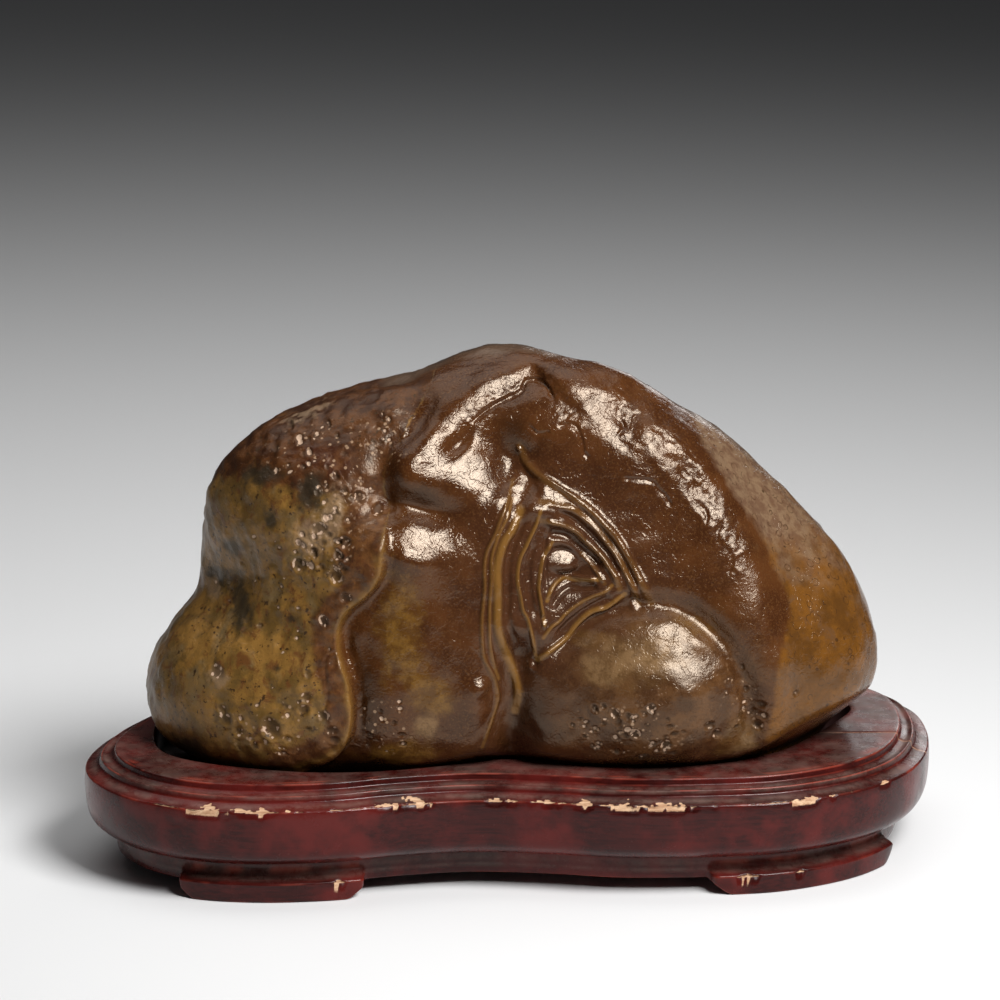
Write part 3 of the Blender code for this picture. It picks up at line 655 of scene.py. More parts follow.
def pit_shares(points):
    """The pale crumbs in and round the pits, and the pits themselves."""
    crumb = np.zeros(len(points))
    pitted = np.zeros(len(points))
    patchy = 0.9 * smoothstep(0.1 + waves(points, 2.4, 31))
    random = np.random.default_rng(PIT_SEED + 1)
    for pit in PITS:
        reach = pit_reach(points, pit)
        paleness = random.uniform(-0.2, 1.2)
        pitted = np.maximum(pitted, np.exp(-reach ** 4))
        if pit[2] > CRUMBLY_PIT:
            crumb = np.maximum(crumb, np.exp(-((reach - 0.85) / 0.3) ** 2) * patchy)
        else:
            crumb = np.maximum(crumb, max(paleness, 0) * np.exp(-(reach * 1.25) ** 4))
    return crumb, pitted


def painted_sheen_share(points, lobe):
    """1 over the top and behind it, where a grey sheen is painted on, but not on the lobe's end."""
    high = smoothstep((points[:, 2] - CREST_BOTTOM) / 30)
    behind = smoothstep((points[:, 1] + 14 + 4 * waves(points, 30, 10)) / 14)
    return high * behind * (1 - lobe * smoothstep((-46 - points[:, 0]) / 12))


def stone_shares(points, normals):
    """How much of each colour and finish every point has, by name, the painted shade and sheen among them."""
    front = facing(normals, "front")
    lobe = lobe_share(points)
    strata, lip = strata_shares(points)
    crumb, pitted = pit_shares(points)
    return {
        "lobe": lobe,
        "flank": flank_share(points),
        # painted grey sheen over the top and behind it
        "crest": painted_sheen_share(points, lobe),
        "strata": strata * front,
        "lip": np.maximum(lip, blobs(points, RUSSET_PATCHES)) * lobe * front,
        "crumb": crumb * front,
        "pitted": pitted * front,
        "stain": blobs(points, STAINS) * front,
        "bloom": blobs(points, BLOOMS) * front,
        "ochre": blobs(points, OCHRE_PATCHES) * front,
        # painted shade in the hollows and the notch
        "dark": blobs(points, PAINTED_SHADE_PATCHES) * front,
        "belly": blob(points, *BELLY) ** 0.5 * front,
        "honey": blobs(points, HONEY_PATCHES) * front,
        "gritty": blobs(points, [field[:5] for field in GRITTY_FIELDS]) * front,
        # painted grey-brown sheen over the flank's top
        "flank_painted_sheen": blob(points, *FLANK_SHEEN_PLACE),
        "banded": blob(points, *BANDED) ** 0.6 * front,
        "wrinkled": ridge_band(points),
        "upper_lobe": lobe * smoothstep((points[:, 2] - UPPER_LOBE_BOTTOM) / 30),
    }


# ---------------------------------------------------------------- stone, the piece
def relief_distance(points):
    """How near each point is to a fine line or a pit of the front."""
    flat = points[:, [0, 2]]
    near = np.full(len(points), FAR)
    for line in [LEDGE] + [drawn[2] for drawn in drawn_lines()]:
        near = np.minimum(near, near_line(flat, smooth_line(line, 3, False), 8)[0])
    for x, height, diameter, _ in PITS:
        near = np.minimum(near, np.hypot(flat[:, 0] - x, flat[:, 1] - height) - diameter / 2)
    return np.where(points[:, 1] < 0, near, FAR)


def refine(bm, reach):
    """Splits the sphere's edges near the relief, and puts the new points back on the sphere."""
    edges = list(bm.edges)
    middles = np.array([((e.verts[0].co + e.verts[1].co) / 2).normalized() for e in edges])
    chosen = relief_distance(pillow(middles)) < reach
    bmesh.ops.subdivide_edges(bm, edges=[e for e, c in zip(edges, chosen) if c], cuts=1, use_grid_fill=True)
    bmesh.ops.triangulate(bm, faces=bm.faces[:], quad_method="SHORT_EDGE", ngon_method="BEAUTY")
    for vert in bm.verts:
        vert.co.normalize()


def store_shares(mesh, shares):
    for name, values in shares.items():
        layer = mesh.attributes.new(name, "FLOAT", "POINT")
        layer.data.foreach_set("value", np.clip(values, 0, 1).astype(np.float32))


def deselect_all():
    bpy.ops.object.select_all(action="DESELECT")


def make_stone():
    deselect_all()
    bpy.ops.mesh.primitive_ico_sphere_add(subdivisions=SPHERE_LEVEL, radius=1)
    stone = bpy.context.object
    stone.name = "scholars_stone"
    bm = bmesh.new()
    bm.from_mesh(stone.data)
    refine(bm, FINE_REACH)
    refine(bm, FINEST_REACH)
    bm.verts.index_update()
    directions = np.array([vert.co[:] for vert in bm.verts])
    triangles = np.array([[vert.index for vert in face.verts] for face in bm.faces])
    bm.to_mesh(stone.data)
    bm.free()
    points = shaped_stone(directions, triangles)
    stone.data.vertices.foreach_set("co", (points * MM).astype(np.float32).ravel())
    store_shares(stone.data, stone_shares(points, vertex_normals(points, triangles)))
    bpy.ops.object.mode_set(mode="EDIT")
    bpy.ops.mesh.select_all(action="SELECT")
    bpy.ops.mesh.normals_make_consistent(inside=False)
    bpy.ops.object.mode_set(mode="OBJECT")
    bpy.ops.object.shade_smooth()
    return stone


# ---------------------------------------------------------------- stand, its section
def rounded(corners):
    """The section's points, with each corner cut back to a short curve of its rounding."""
    points = [np.array(corners[0][:2], float)]
    for before, corner, after in zip(corners, corners[1:], corners[2:]):
        place = np.array(corner[:2], float)
        if not corner[2]:
            points.append(place)
            continue
        back = np.array(before[:2]) - place
        on = np.array(after[:2]) - place
        start = place + back * corner[2] / np.linalg.norm(back)
        end = place + on * corner[2] / np.linalg.norm(on)
        for t in (0, 0.25, 0.5, 0.75, 1):
            points.append((1 - t) ** 2 * start + 2 * t * (1 - t) * place + t * t * end)
    points.append(np.array(corners[-1][:2], float))
    return np.array(points)


def stand_section(flare, drop):
    """Inset and height of each row of points, at each station round the stand."""
    moulding = rounded(MOULDING)
    side = smooth_line(SIDE, 3, False)[1:]
    neck = rounded(NECK)[1:]
    rows = [np.tile(point, (len(flare), 1)) for point in np.vstack([moulding, side, neck])]
    for plain, full in zip(rounded(PLAIN_FOOT), rounded(FULL_FOOT)):
        row = np.empty((len(flare), 2))
        row[:, 0] = plain[0] + (full[0] - plain[0]) * flare
        share = drop if full[1] < APRON_BOTTOM else flare
        row[:, 1] = plain[1] + (full[1] - plain[1]) * share
        rows.append(row)
    return rows


# ---------------------------------------------------------------- stand, its plan
def inward(curve):
    """Unit vectors across a closed anticlockwise curve, towards its inside."""
    along = np.roll(curve, -1, axis=0) - np.roll(curve, 1, axis=0)
    across = np.stack([-along[:, 1], along[:, 0]], axis=1)
    return across / np.linalg.norm(across, axis=1)[:, None]


def arc_positions(curve):
    steps = np.hypot(*(np.roll(curve, -1, axis=0) - curve).T)
    return np.concatenate([[0], np.cumsum(steps)])


def position_of(place, curve, positions):
    """How far round the outline the place nearest to this one is."""
    return positions[np.argmin(np.hypot(*(curve - np.array(place)).T))]


def foot_shares(at, spans):
    """At each station: 1 where the foot's lip flares out, and 1 where the foot reaches the table."""
    flare = np.zeros(len(at))
    drop = np.zeros(len(at))
    for start, end in spans:
        inside = np.minimum(at - start, end - at)
        flare = np.maximum(flare, smoothstep(inside / LIP_FADE))
        drop = np.maximum(drop, smoothstep((inside + 1.0) / FOOT_END_LENGTH))
    return flare, drop


def stations(length, split):
    """Distances round the outline: evenly spread, with some close together at the split."""
    even = np.arange(STATION_COUNT) * length / STATION_COUNT
    clear = even[np.abs(even - split) > SPLIT_CLEARANCE]
    return np.sort(np.concatenate([clear, split + np.array(SPLIT_STATIONS)]))


def stand_rings():
    """The stand's rows of points, from the socket's floor to the recess underneath.

    With them come each station's way inwards and distance from the split, and how many rows lie in the
    socket and on the deck.
    """
    curve = smooth_line(STAND_OUTLINE, 60, True)
    positions = arc_positions(curve)
    spans = [[position_of(end, curve, positions) for end in foot] for foot in FEET]
    split = position_of(SPLIT_PLACE, curve, positions)
    at = stations(positions[-1], split)
    closed_curve = np.vstack([curve, curve[:1]])
    closed_inward = np.vstack([inward(curve), inward(curve)[:1]])
    plan = np.stack([np.interp(at, positions, closed_curve[:, i]) for i in (0, 1)], axis=1)
    into = np.stack([np.interp(at, positions, closed_inward[:, i]) for i in (0, 1)], axis=1)
    section = stand_section(*foot_shares(at, spans))
    angle = np.arctan2(plan[:, 1], plan[:, 0])
    edge = polar_radius(smooth_line(SOCKET_OUTLINE, 20, True), (0, 0), angle)
    out = np.stack([np.cos(angle), np.sin(angle)], axis=1)
    rings = [(out * (edge - draft)[:, None], np.full(len(at), height)) for draft, height in SOCKET_WALL]
    inner = rings[-1][0]
    outer = plan + into * section[0][:, :1]
    for share in np.linspace(0, 1, DECK_ROWS + 2)[1:-1]:
        rings.append((inner + (outer - inner) * share, np.full(len(at), DECK_TOP)))
    deck_rows = len(rings)
    for row in section:
        rings.append((plan + into * row[:, :1], row[:, 1]))
    places = [np.column_stack([flat, height]) for flat, height in rings]
    return np.array(places), into, np.abs(at - split), deck_rows


# ---------------------------------------------------------------- stand, its wear
def chip_share(points, chips, height):
    """1 where the lacquer and a little wood are gone from an edge at this height, on the front."""
    share = np.zeros(len(points))
    ragged = unevenness(points, [(0.3, 6, 21), (0.2, 2.2, 22)])
    for start, end, tall, above in chips:
        middle, half = (start + end) / 2, (end - start) / 2
        along = np.clip(np.abs(points[:, 0] - middle) / half, 0, 2)
        up = np.abs(points[:, 2] - height - tall * (above - 0.5)) / (0.5 * tall)
        share = np.maximum(share, smoothstep((1.0 - along - 0.8 * up + ragged) / 0.3) * (up < 2))
    return share * (points[:, 1] < 0)


def dust_and_sheen_share(points):
    """1 in the hollows of the moulding and of the neck, where dust stays, and less on the deck, where the
    pale film is dust and a painted sheen.
    """
    share = DECK_DUST_AND_SHEEN * smoothstep((points[:, 2] - DECK_TOP + 0.3) / 0.2)
    for height, half_height, amount in DUST_HOLLOWS:
        share += amount * np.exp(-((points[:, 2] - height) / half_height) ** 2)
    return share


def stand_shares(points, split_distance, corner, socket):
    """What is chipped, split, worn or dusty (on the deck, dust and a painted sheen), and where shade is
    painted inside the socket, at each point of the stand.
    """
    chips = chip_share(points, CHIPS, ARRIS_HEIGHT)
    foot_chips = chip_share(points, FOOT_CHIPS, FOOT_LIP_HEIGHT)
    rubbed = smoothstep(0.35 + unevenness(points, [(0.6, 26, 23), (0.3, 7, 24)]))
    return {
        "chip": np.maximum(chips, foot_chips),
        "split": np.exp(-(split_distance / SPLIT_HALF_WIDTH) ** 2) * (points[:, 2] > SPLIT_BOTTOM),
        "worn": corner * rubbed,
        # painted shade inside the socket
        "socket": smoothstep((DECK_TOP - 0.7 - points[:, 2]) / 0.6) * socket,
        "dust_and_sheen": dust_and_sheen_share(points),
    }


def outer_corners(rings, deck_rows):
    """1 on the moulding's outer edges, where the lacquer wears first."""
    step_back = np.roll(rings, 1, axis=0) - rings
    step_on = np.roll(rings, -1, axis=0) - rings
    bend = np.linalg.norm(step_back / np.linalg.norm(step_back, axis=2)[..., None]
                          + step_on / np.linalg.norm(step_on, axis=2)[..., None], axis=2)
    bend[:deck_rows] = 0
    inside = (step_back + step_on) @ np.array([0, 0, 1.0])
    return (smoothstep((bend - 0.15) / 0.3) * (inside < 0.3)).reshape(-1)


def make_stand():
    rings, into, split_distance, deck_rows = stand_rings()
    row_count, station_count, _ = rings.shape
    grid = rings.reshape(-1, 3)
    inward_all = np.tile(np.column_stack([into, np.zeros(station_count)]), (row_count, 1))
    in_socket = np.repeat(np.arange(row_count) < len(SOCKET_WALL) - 1, station_count)
    corner = outer_corners(rings, deck_rows)
    shares = stand_shares(grid, np.tile(split_distance, row_count), corner, in_socket)
    depth = CHIP_DEPTH * shares["chip"]
    for x, height, half_width, half_height, dent in DENTS:
        depth += dent * blob(grid, x, height, half_width, half_height) * (grid[:, 1] < 0)
    grid = grid + inward_all * depth[:, None]
    grid[:, 2] -= SPLIT_DEPTH * shares["split"] * (grid[:, 2] > SPLIT_DEPTH_BOTTOM)
    deselect_all()
    bpy.ops.mesh.primitive_circle_add(vertices=station_count, radius=100 * MM, fill_type="NOTHING")
    stand = bpy.context.object
    stand.name = "lacquered_stand"
    extrude_rings(stand, grid.reshape(rings.shape) * MM)
    order = ring_order(stand, station_count)
    store_shares(stand.data, {name: values[order] for name, values in shares.items()})
    bpy.ops.object.shade_smooth()
    return stand


def extrude_rings(stand, rings):
    """Shapes the circle to the first ring, then draws it on from ring to ring and closes both ends."""
    bpy.ops.object.mode_set(mode="EDIT")
    bpy.ops.mesh.select_all(action="SELECT")
    bm = bmesh.from_edit_mesh(stand.data)
    station = bm.verts.layers.int.new("station")
    bm.verts.layers.int.new("ring")
    for i, vert in enumerate(bm.verts):
        vert[station] = i
    for number, ring in enumerate(rings):
        if number:
            bpy.ops.mesh.extrude_region()
        bm = bmesh.from_edit_mesh(stand.data)
        station = bm.verts.layers.int["station"]
        ring_number = bm.verts.layers.int["ring"]
        for vert in bm.verts:
            if vert.select:
                vert.co = ring[vert[station]]
                vert[ring_number] = number
        bmesh.update_edit_mesh(stand.data)
        if number in (0, len(rings) - 1):
            bpy.ops.mesh.edge_face_add()
            bpy.ops.mesh.select_all(action="DESELECT")
            select_ring(stand, number)
    bpy.ops.mesh.select_all(action="SELECT")
    bpy.ops.mesh.normals_make_consistent(inside=False)
    bpy.ops.object.mode_set(mode="OBJECT")


def select_ring(stand, number):
    """Selects the edges of one ring."""
    bm = bmesh.from_edit_mesh(stand.data)
    ring_number = bm.verts.layers.int["ring"]
    for edge in bm.edges:
        if all(vert[ring_number] == number for vert in edge.verts):
            edge.select = True
    bmesh.update_edit_mesh(stand.data)


def ring_order(stand, station_count):
    """For each of the mesh's points, its place in a list that runs ring by ring."""
    numbers = {}
    for name in ("station", "ring"):
        values = np.empty(len(stand.data.vertices), np.int32)
        stand.data.attributes[name].data.foreach_get("value", values)
        numbers[name] = values
    return numbers["ring"] * station_count + numbers["station"]


# ---------------------------------------------------------------- colours
# A pair holds the darker and the paler tone of a mottled colour, each as red, green and blue.
OLIVE = ((0.115, 0.062, 0.015), (0.235, 0.118, 0.026))
OLIVE_GREY = (0.155, 0.10, 0.042)
OLIVE_RUSSET = (0.12, 0.046, 0.012)
OLIVE_SPECKS = (0.04, 0.018, 0.006)
UPPER_BROWN = ((0.038, 0.012, 0.004), (0.09, 0.032, 0.009))
CHOCOLATE = ((0.045, 0.014, 0.004), (0.078, 0.026, 0.007))
CHOCOLATE_GRAIN = (0.09, 0.036, 0.011)
TRUNK_OCHRE = ((0.09, 0.038, 0.007), (0.17, 0.082, 0.015))
FLANK_OCHRE = ((0.085, 0.034, 0.007), (0.150, 0.058, 0.009))
FLANK_DUSK = (0.11, 0.05, 0.018)
# painted sheen over the flank's top
FLANK_PAINTED_SHEEN = ((0.12, 0.064, 0.036), (0.18, 0.11, 0.062))
FLANK_CRESCENTS = (0.04, 0.018, 0.007)
BELLY_BROWN = ((0.050, 0.021, 0.007), (0.115, 0.052, 0.018))
HONEY = ((0.12, 0.062, 0.021), (0.235, 0.135, 0.058))
# painted sheen: the grey over the top and behind it
CREST_PAINTED_SHEEN = ((0.07, 0.045, 0.03), (0.15, 0.095, 0.062))
LIP_RUSSET = ((0.05, 0.014, 0.006), (0.11, 0.038, 0.011))
PLAIN_COATS = [  # stored share, strength and tone of each coat, the lowest first
    # the first coat is painted shade in the hollows and the notch
    ("dark", 0.75, (0.028, 0.010, 0.003)),
    ("banded", 0.6, (0.046, 0.020, 0.012)),
    ("strata", 0.85, (0.19, 0.09, 0.02)),
]
RAGGED_COATS = [  # the same, with the size, amount and softness of its ragged edge before its strength
    ("stain", 5, 1.5, 0.35, 0.85, (0.022, 0.017, 0.010)),
    ("bloom", 4, 1.4, 0.25, 0.6, (0.26, 0.17, 0.10)),
]
# painted shade inside the pits
PIT_PAINTED_SHADE = (0.032, 0.014, 0.005)
GRIT = (0.36, 0.23, 0.14)
CRUMBS = (0.48, 0.33, 0.23)
WAX_ROUGHNESS = 0.12
DULLING = [("lobe", 0.2), ("pitted", 0.3), ("belly", 0.13), ("wrinkled", 0.07)]
WAX_TINT = (1.0, 0.84, 0.67)
LACQUER = ((0.022, 0.0030, 0.0024), (0.048, 0.0058, 0.0045))
LACQUER_RED = (0.095, 0.009, 0.007)
LACQUER_WORN = (0.23, 0.035, 0.02)
# dust, and on the deck also a painted grey sheen
DUST_AND_SHEEN = (0.42, 0.31, 0.25)
# painted shade inside the socket
SOCKET_PAINTED_SHADE = (0.012, 0.006, 0.005)
BARE_WOOD = ((0.40, 0.21, 0.115), (0.68, 0.45, 0.28))
SPLIT_WOOD = (0.42, 0.25, 0.16)
PAPER = (0.8, 0.8, 0.8)


def rgba(tone):
    """A plain tone with its opacity; a colour that nodes make stays as it is."""
    return (*tone, 1.0) if isinstance(tone, tuple) else tone


# ---------------------------------------------------------------- materials
class Finish:
    """A Principled material, whose colours and bumps are put together from procedural nodes."""

    def __init__(self, name):
        self.material = bpy.data.materials.new(name)
        self.material.use_nodes = True
        self.tree = self.material.node_tree
        self.shader = self.tree.nodes["Principled BSDF"]
        place = self.add("ShaderNodeTexCoord").outputs["Object"]
        in_mm = self.add("ShaderNodeVectorMath", {0: place, "Scale": 1 / MM}, operation="SCALE")
        self.place = in_mm.outputs[0]

    def add(self, kind, inputs=None, **settings):
        made = self.tree.nodes.new(kind)
        for name, value in settings.items():
            setattr(made, name, value)
        for name, value in (inputs or {}).items():
            self.feed(made.inputs[name], value)
        return made

    def feed(self, socket, value):
        if isinstance(value, bpy.types.NodeSocket):
            self.tree.links.new(value, socket)
        else:
            socket.default_value = value

    def set(self, **values):
        for name, value in values.items():
            self.feed(self.shader.inputs[name.replace("_", " ")], value)

    def share(self, name):
        """A value stored on the piece's own points."""
        return self.add("ShaderNodeAttribute", attribute_name=name).outputs["Fac"]

    def stretched(self, x, y, z):
        """The place, drawn out along the axes with a small number."""
        return self.add("ShaderNodeMapping", {"Vector": self.place, "Scale": (x, y, z)}).outputs[0]

    def noise(self, size, detail=4.0, roughness=0.6, distortion=0.0, at=None):
        """Cloudy values of about 0.3 to 0.7, with features of this many millimetres."""
        return self.add("ShaderNodeTexNoise", {
            "Vector": at or self.place, "Scale": 1 / size, "Detail": detail, "Roughness": roughness,
            "Distortion": distortion,
        }).outputs["Fac"]

    def cells(self, size):
        """The distance from the middle of the nearest of many cells of this many millimetres."""
        return self.add("ShaderNodeTexVoronoi", {"Vector": self.place, "Scale": 1 / size}).outputs["Distance"]

    def math(self, operation, a, b=0.0, c=0.0):
        return self.add("ShaderNodeMath", {0: a, 1: b, 2: c}, operation=operation).outputs[0]

    def between(self, value, low, high, to_low=0.0, to_high=1.0):
        """The value, stretched so that low gives to_low and high gives to_high, eased and kept inside."""
        return self.add("ShaderNodeMapRange", {
            "Value": value, "From Min": low, "From Max": high, "To Min": to_low, "To Max": to_high,
        }, interpolation_type="SMOOTHSTEP").outputs["Result"]

    def ragged(self, name, size, amount=1.0, softness=0.12):
        """A stored share, with its edge broken up by noise of this size."""
        off_middle = self.math("SUBTRACT", self.noise(size), 0.5)
        value = self.math("MULTIPLY_ADD", off_middle, amount, self.share(name))
        return self.between(value, 0.5 - softness, 0.5 + softness)

    def mix(self, share, a, b):
        """The colour a, with b in its place where the share is 1."""
        return self.add("ShaderNodeMix", {0: share, 6: rgba(a), 7: rgba(b)}, data_type="RGBA").outputs[2]

    def coat(self, body, share, strength, tone):
        """The body's colour, with a coat of this strength over it where the share is 1."""
        return self.mix(self.math("MULTIPLY", share, strength), body, tone)

    def mottled(self, tones, size, low, high, detail=5, roughness=0.7, distortion=0.0):
        """The first tone, clouded with the second by noise of this size."""
        clouds = self.between(self.noise(size, detail, roughness, distortion), low, high)
        return self.mix(clouds, *tones)

    def bump(self, height, depth, normal=None):
        """A normal that follows a height, where 1 stands this many millimetres proud."""
        inputs = {"Height": height, "Distance": depth * MM, "Strength": 1.0}
        if normal:
            inputs["Normal"] = normal
        return self.add("ShaderNodeBump", inputs).outputs[0]


def lobe_colour(rock):
    """Mottled olive with grey and russet clouds, brown towards the top, with dark specks."""
    olive = rock.mottled(OLIVE, 11, 0.38, 0.62, 5, 0.65)
    grey = rock.mottled((olive, OLIVE_GREY), 17, 0.5, 0.68, 4, 0.6, 0.4)
    russet = rock.mottled((grey, OLIVE_RUSSET), 7, 0.52, 0.66, 6, 0.7, 0.6)
    upper = rock.mottled(UPPER_BROWN, 8, 0.4, 0.62)
    brown = rock.mix(rock.ragged("upper_lobe", 14, 1.6, 0.2), russet, upper)
    return rock.mottled((brown, OLIVE_SPECKS), 2.2, 0.6, 0.68, 3, 0.6)


def trunk_colour(rock):
    """Chocolate brown with a fine paler grain, and ochre where it is thin."""
    brown = rock.mottled(CHOCOLATE, 16, 0.38, 0.64, 5, 0.6)
    grained = rock.mottled((brown, CHOCOLATE_GRAIN), 0.9, 0.5, 0.66, 3)
    return rock.coat(grained, rock.ragged("ochre", 7, 1.2, 0.3), 0.9, rock.mottled(TRUNK_OCHRE, 6, 0.4, 0.62))


def flank_colour(rock):
    """Warm ochre, with a painted grey-brown sheen towards the top, crossed by short dark crescents."""
    ochre = rock.mottled(FLANK_OCHRE, 14, 0.36, 0.62, 5, 0.65)
    dusky = rock.mottled((ochre, FLANK_DUSK), 9, 0.5, 0.66, distortion=0.5)
    # painted grey-brown sheen towards the flank's top
    body = rock.mix(rock.ragged("flank_painted_sheen", 9, 0.9, 0.3), dusky, rock.mottled(FLANK_PAINTED_SHEEN, 5, 0.4, 0.62))
    off_ring = rock.math("ABSOLUTE", rock.math("SUBTRACT", rock.cells(4.6), 0.36))
    ring = rock.between(off_ring, 0.0, 0.05, 1.0, 0.0)
    broken = rock.math("MULTIPLY", ring, rock.between(rock.noise(3.2, 2, 0.5), 0.47, 0.55))
    return rock.coat(body, broken, 0.85, FLANK_CRESCENTS)


def grit(rock):
    """Pale grains of about a millimetre, where the stone is pitted."""
    grains = rock.between(rock.cells(2.6), 0.2, 0.32, 1.0, 0.0)
    chosen = rock.between(rock.noise(3.6, 2, 0.5), 0.49, 0.53)
    return rock.math("MULTIPLY", rock.math("MULTIPLY", grains, chosen), rock.ragged("gritty", 6, 0.6, 0.3))


def rock_colour(rock):
    """The three broad colours of the stone, and over them its patches, bands, stains and grains, with painted
    shade in the hollows and pits and a painted grey sheen over the top and the flank's top.
    """
    body = rock.mix(rock.ragged("lobe", 5, 0.5, 0.25), trunk_colour(rock), lobe_colour(rock))
    belly = rock.mottled(BELLY_BROWN, 10, 0.42, 0.62, 5, 0.65)
    body = rock.coat(body, rock.ragged("belly", 12, 0.8, 0.3), 0.75, belly)
    body = rock.coat(body, rock.ragged("honey", 9, 1.3, 0.35), 0.85, rock.mottled(HONEY, 7, 0.4, 0.62))
    body = rock.mix(rock.ragged("flank", 7, 0.7, 0.22), body, flank_colour(rock))
    # painted grey sheen over the top and behind it
    crest = rock.mix(rock.noise(12), *CREST_PAINTED_SHEEN)
    body = rock.coat(body, rock.ragged("crest", 9, 1.0, 0.35), 0.7, crest)
    body = rock.coat(body, rock.ragged("lip", 7, 0.8, 0.3), 0.85, rock.mottled(LIP_RUSSET, 5, 0.4, 0.62))
    for name, strength, tone in PLAIN_COATS:
        body = rock.coat(body, rock.share(name), strength, tone)
    for name, size, amount, softness, strength, tone in RAGGED_COATS:
        body = rock.coat(body, rock.ragged(name, size, amount, softness), strength, tone)
    # painted shade inside the pits
    body = rock.coat(body, rock.share("pitted"), 0.6, PIT_PAINTED_SHADE)
    body = rock.coat(body, grit(rock), 0.8, GRIT)
    return rock.mix(rock.ragged("crumb", 1.2, 0.7, 0.15), body, CRUMBS)


def rock_bumps(rock):
    """The skin's fine unevenness, the crest's wrinkles and scattered dents, one over the other."""
    normal = rock.bump(rock.noise(3.2, 3, 0.6), 0.12)
    wrinkles = rock.math("MULTIPLY", rock.noise(2.4, 3, 0.6, 0.6), rock.share("wrinkled"))
    normal = rock.bump(wrinkles, 0.2, normal)
    normal = rock.bump(rock.noise(0.8, 3, 0.65, 0.4), 0.07, normal)
    dents = rock.between(rock.cells(1.7), 0.12, 0.3)
    scattered = rock.between(rock.noise(4, 2), 0.5, 0.56)
    return rock.bump(rock.math("MULTIPLY", dents, scattered), 0.06, normal)


def rock_finish():
    rock = Finish("waxed_stone")
    roughness = WAX_ROUGHNESS
    for name, more in DULLING:
        roughness = rock.math("MULTIPLY_ADD", rock.share(name), more, roughness)
    uneven = rock.between(rock.noise(5), 0.35, 0.65)
    roughness = rock.math("MULTIPLY_ADD", uneven, 0.07, roughness)
    rock.set(Base_Color=rock_colour(rock), Roughness=roughness, Normal=rock_bumps(rock), IOR=1.5)
    rock.set(Specular_IOR_Level=0.5, Specular_Tint=rgba(WAX_TINT))
    return rock.material


def lacquer_finish():
    wood = Finish("lacquered_wood")
    grain = wood.noise(1.1, 5, 0.7, 0.3, wood.stretched(0.035, 1, 1))
    dark = wood.mix(wood.between(grain, 0.36, 0.64), *LACQUER)
    body = wood.mottled((dark, LACQUER_RED), 26, 0.42, 0.66, 4, 0.6)
    body = wood.coat(body, wood.share("worn"), 0.8, LACQUER_WORN)
    # dust in the hollows, and on the deck dust and a painted grey sheen
    dust_and_sheen = wood.math("MULTIPLY", wood.share("dust_and_sheen"), wood.between(wood.noise(14, 6, 0.75), 0.3, 0.75))
    body = wood.coat(body, dust_and_sheen, 0.26, DUST_AND_SHEEN)
    # painted shade inside the socket
    body = wood.coat(body, wood.share("socket"), 0.8, SOCKET_PAINTED_SHADE)
    fibres = wood.noise(1.2, 4, 0.7, 0.0, wood.stretched(0.1, 1, 1))
    bare_wood = wood.mix(wood.between(fibres, 0.35, 0.65), *BARE_WOOD)
    body = wood.mix(wood.ragged("chip", 1.2, 0.4), body, bare_wood)
    body = wood.coat(body, wood.ragged("split", 1.0, 0.5, 0.2), 0.85, SPLIT_WOOD)
    dull = wood.math("MAXIMUM", wood.share("chip"), wood.math("MULTIPLY", dust_and_sheen, 0.5))
    dull = wood.math("MAXIMUM", dull, wood.share("socket"))
    gloss = wood.between(wood.noise(8, 5, 0.6), 0.3, 0.7, 0.16, 0.30)
    roughness = wood.math("MULTIPLY_ADD", dull, 0.45, gloss)
    normal = wood.bump(wood.noise(6, 3), 0.12, wood.bump(grain, 0.05))
    wood.set(Base_Color=body, Roughness=roughness, Normal=normal, IOR=1.5, Specular_IOR_Level=0.24)
    return wood.material


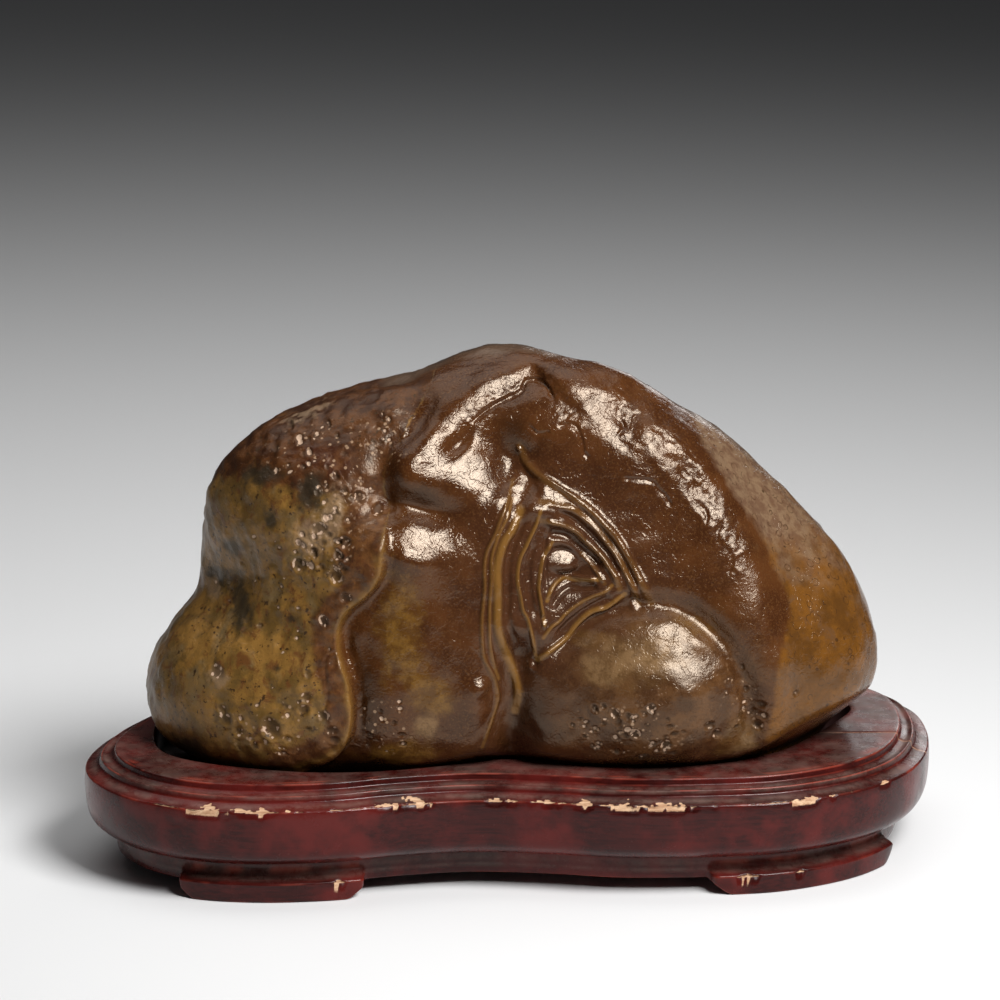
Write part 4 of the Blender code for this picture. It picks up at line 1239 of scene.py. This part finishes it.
# ---------------------------------------------------------------- studio
CAMERA_PLACE = (-0.005, -1.49, 0.503)
CAMERA_PITCH = 13.6  # degrees below the horizon
CAMERA_LENS = 136.692
CAMERA_SENSOR = 36
FLOOR_SIZE = 12.0
FLOOR_DROP = 0.0002
AIR = (0.62, 0.63, 0.65)
AIR_STRENGTH = 0.04
STUDIO_MIDDLE = (0, 0, 0.1)
LIGHTS = [  # name, place, where it points, width and height, watts, and spread in degrees
    ("key", (0.61, -0.73, 1.08), STUDIO_MIDDLE, (0.68, 0.5), 8.7, 100),
    ("top", (-0.3, 0.5, 1.5), (-0.3, 0.5, 0), (2.0, 1.2), 4.6, 120),
    ("back", (0.75, 2.5, 0.85), STUDIO_MIDDLE, (0.9, 0.6), 0.2, 30),
]


def hang(name, data):
    """A new lamp or camera in the scene."""
    held = bpy.data.objects.new(name, data)
    bpy.context.scene.collection.objects.link(held)
    return held


def make_light(name, place, target, size, power, spread):
    light = bpy.data.lights.new(name, "AREA")
    light.shape = "RECTANGLE"
    light.size, light.size_y = size
    light.energy = power
    light.spread = math.radians(spread)
    lamp = hang(name, light)
    lamp.location = place
    lamp.rotation_euler = (Vector(target) - Vector(place)).to_track_quat("-Z", "Y").to_euler()


def make_floor():
    deselect_all()
    bpy.ops.mesh.primitive_plane_add(size=FLOOR_SIZE, location=(0, 0, -FLOOR_DROP))
    floor = bpy.context.object
    floor.name = "studio_floor"
    paper = Finish("studio_paper")
    paper.set(Base_Color=rgba(PAPER), Roughness=0.9)
    floor.data.materials.append(paper.material)


def make_camera():
    camera = bpy.data.cameras.new("camera")
    camera.lens = CAMERA_LENS
    camera.sensor_width = CAMERA_SENSOR
    camera.sensor_fit = "HORIZONTAL"
    holder = hang("camera", camera)
    holder.location = CAMERA_PLACE
    holder.rotation_euler = (math.radians(90 - CAMERA_PITCH), 0, 0)
    bpy.context.scene.camera = holder
    bpy.context.scene.view_settings.view_transform = "Standard"


def make_studio():
    make_floor()
    for light in LIGHTS:
        make_light(*light)
    world = bpy.data.worlds.new("studio")
    world.use_nodes = True
    world.node_tree.nodes["Background"].inputs["Color"].default_value = rgba(AIR)
    world.node_tree.nodes["Background"].inputs["Strength"].default_value = AIR_STRENGTH
    bpy.context.scene.world = world
    make_camera()


# ---------------------------------------------------------------- assembly
def main():
    stone = make_stone()
    stone.data.materials.append(rock_finish())
    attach(stone, "root")
    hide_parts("stone")
    stand = make_stand()
    stand.data.materials.append(lacquer_finish())
    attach(stand, "root")
    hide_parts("stand")
    make_studio()


main()
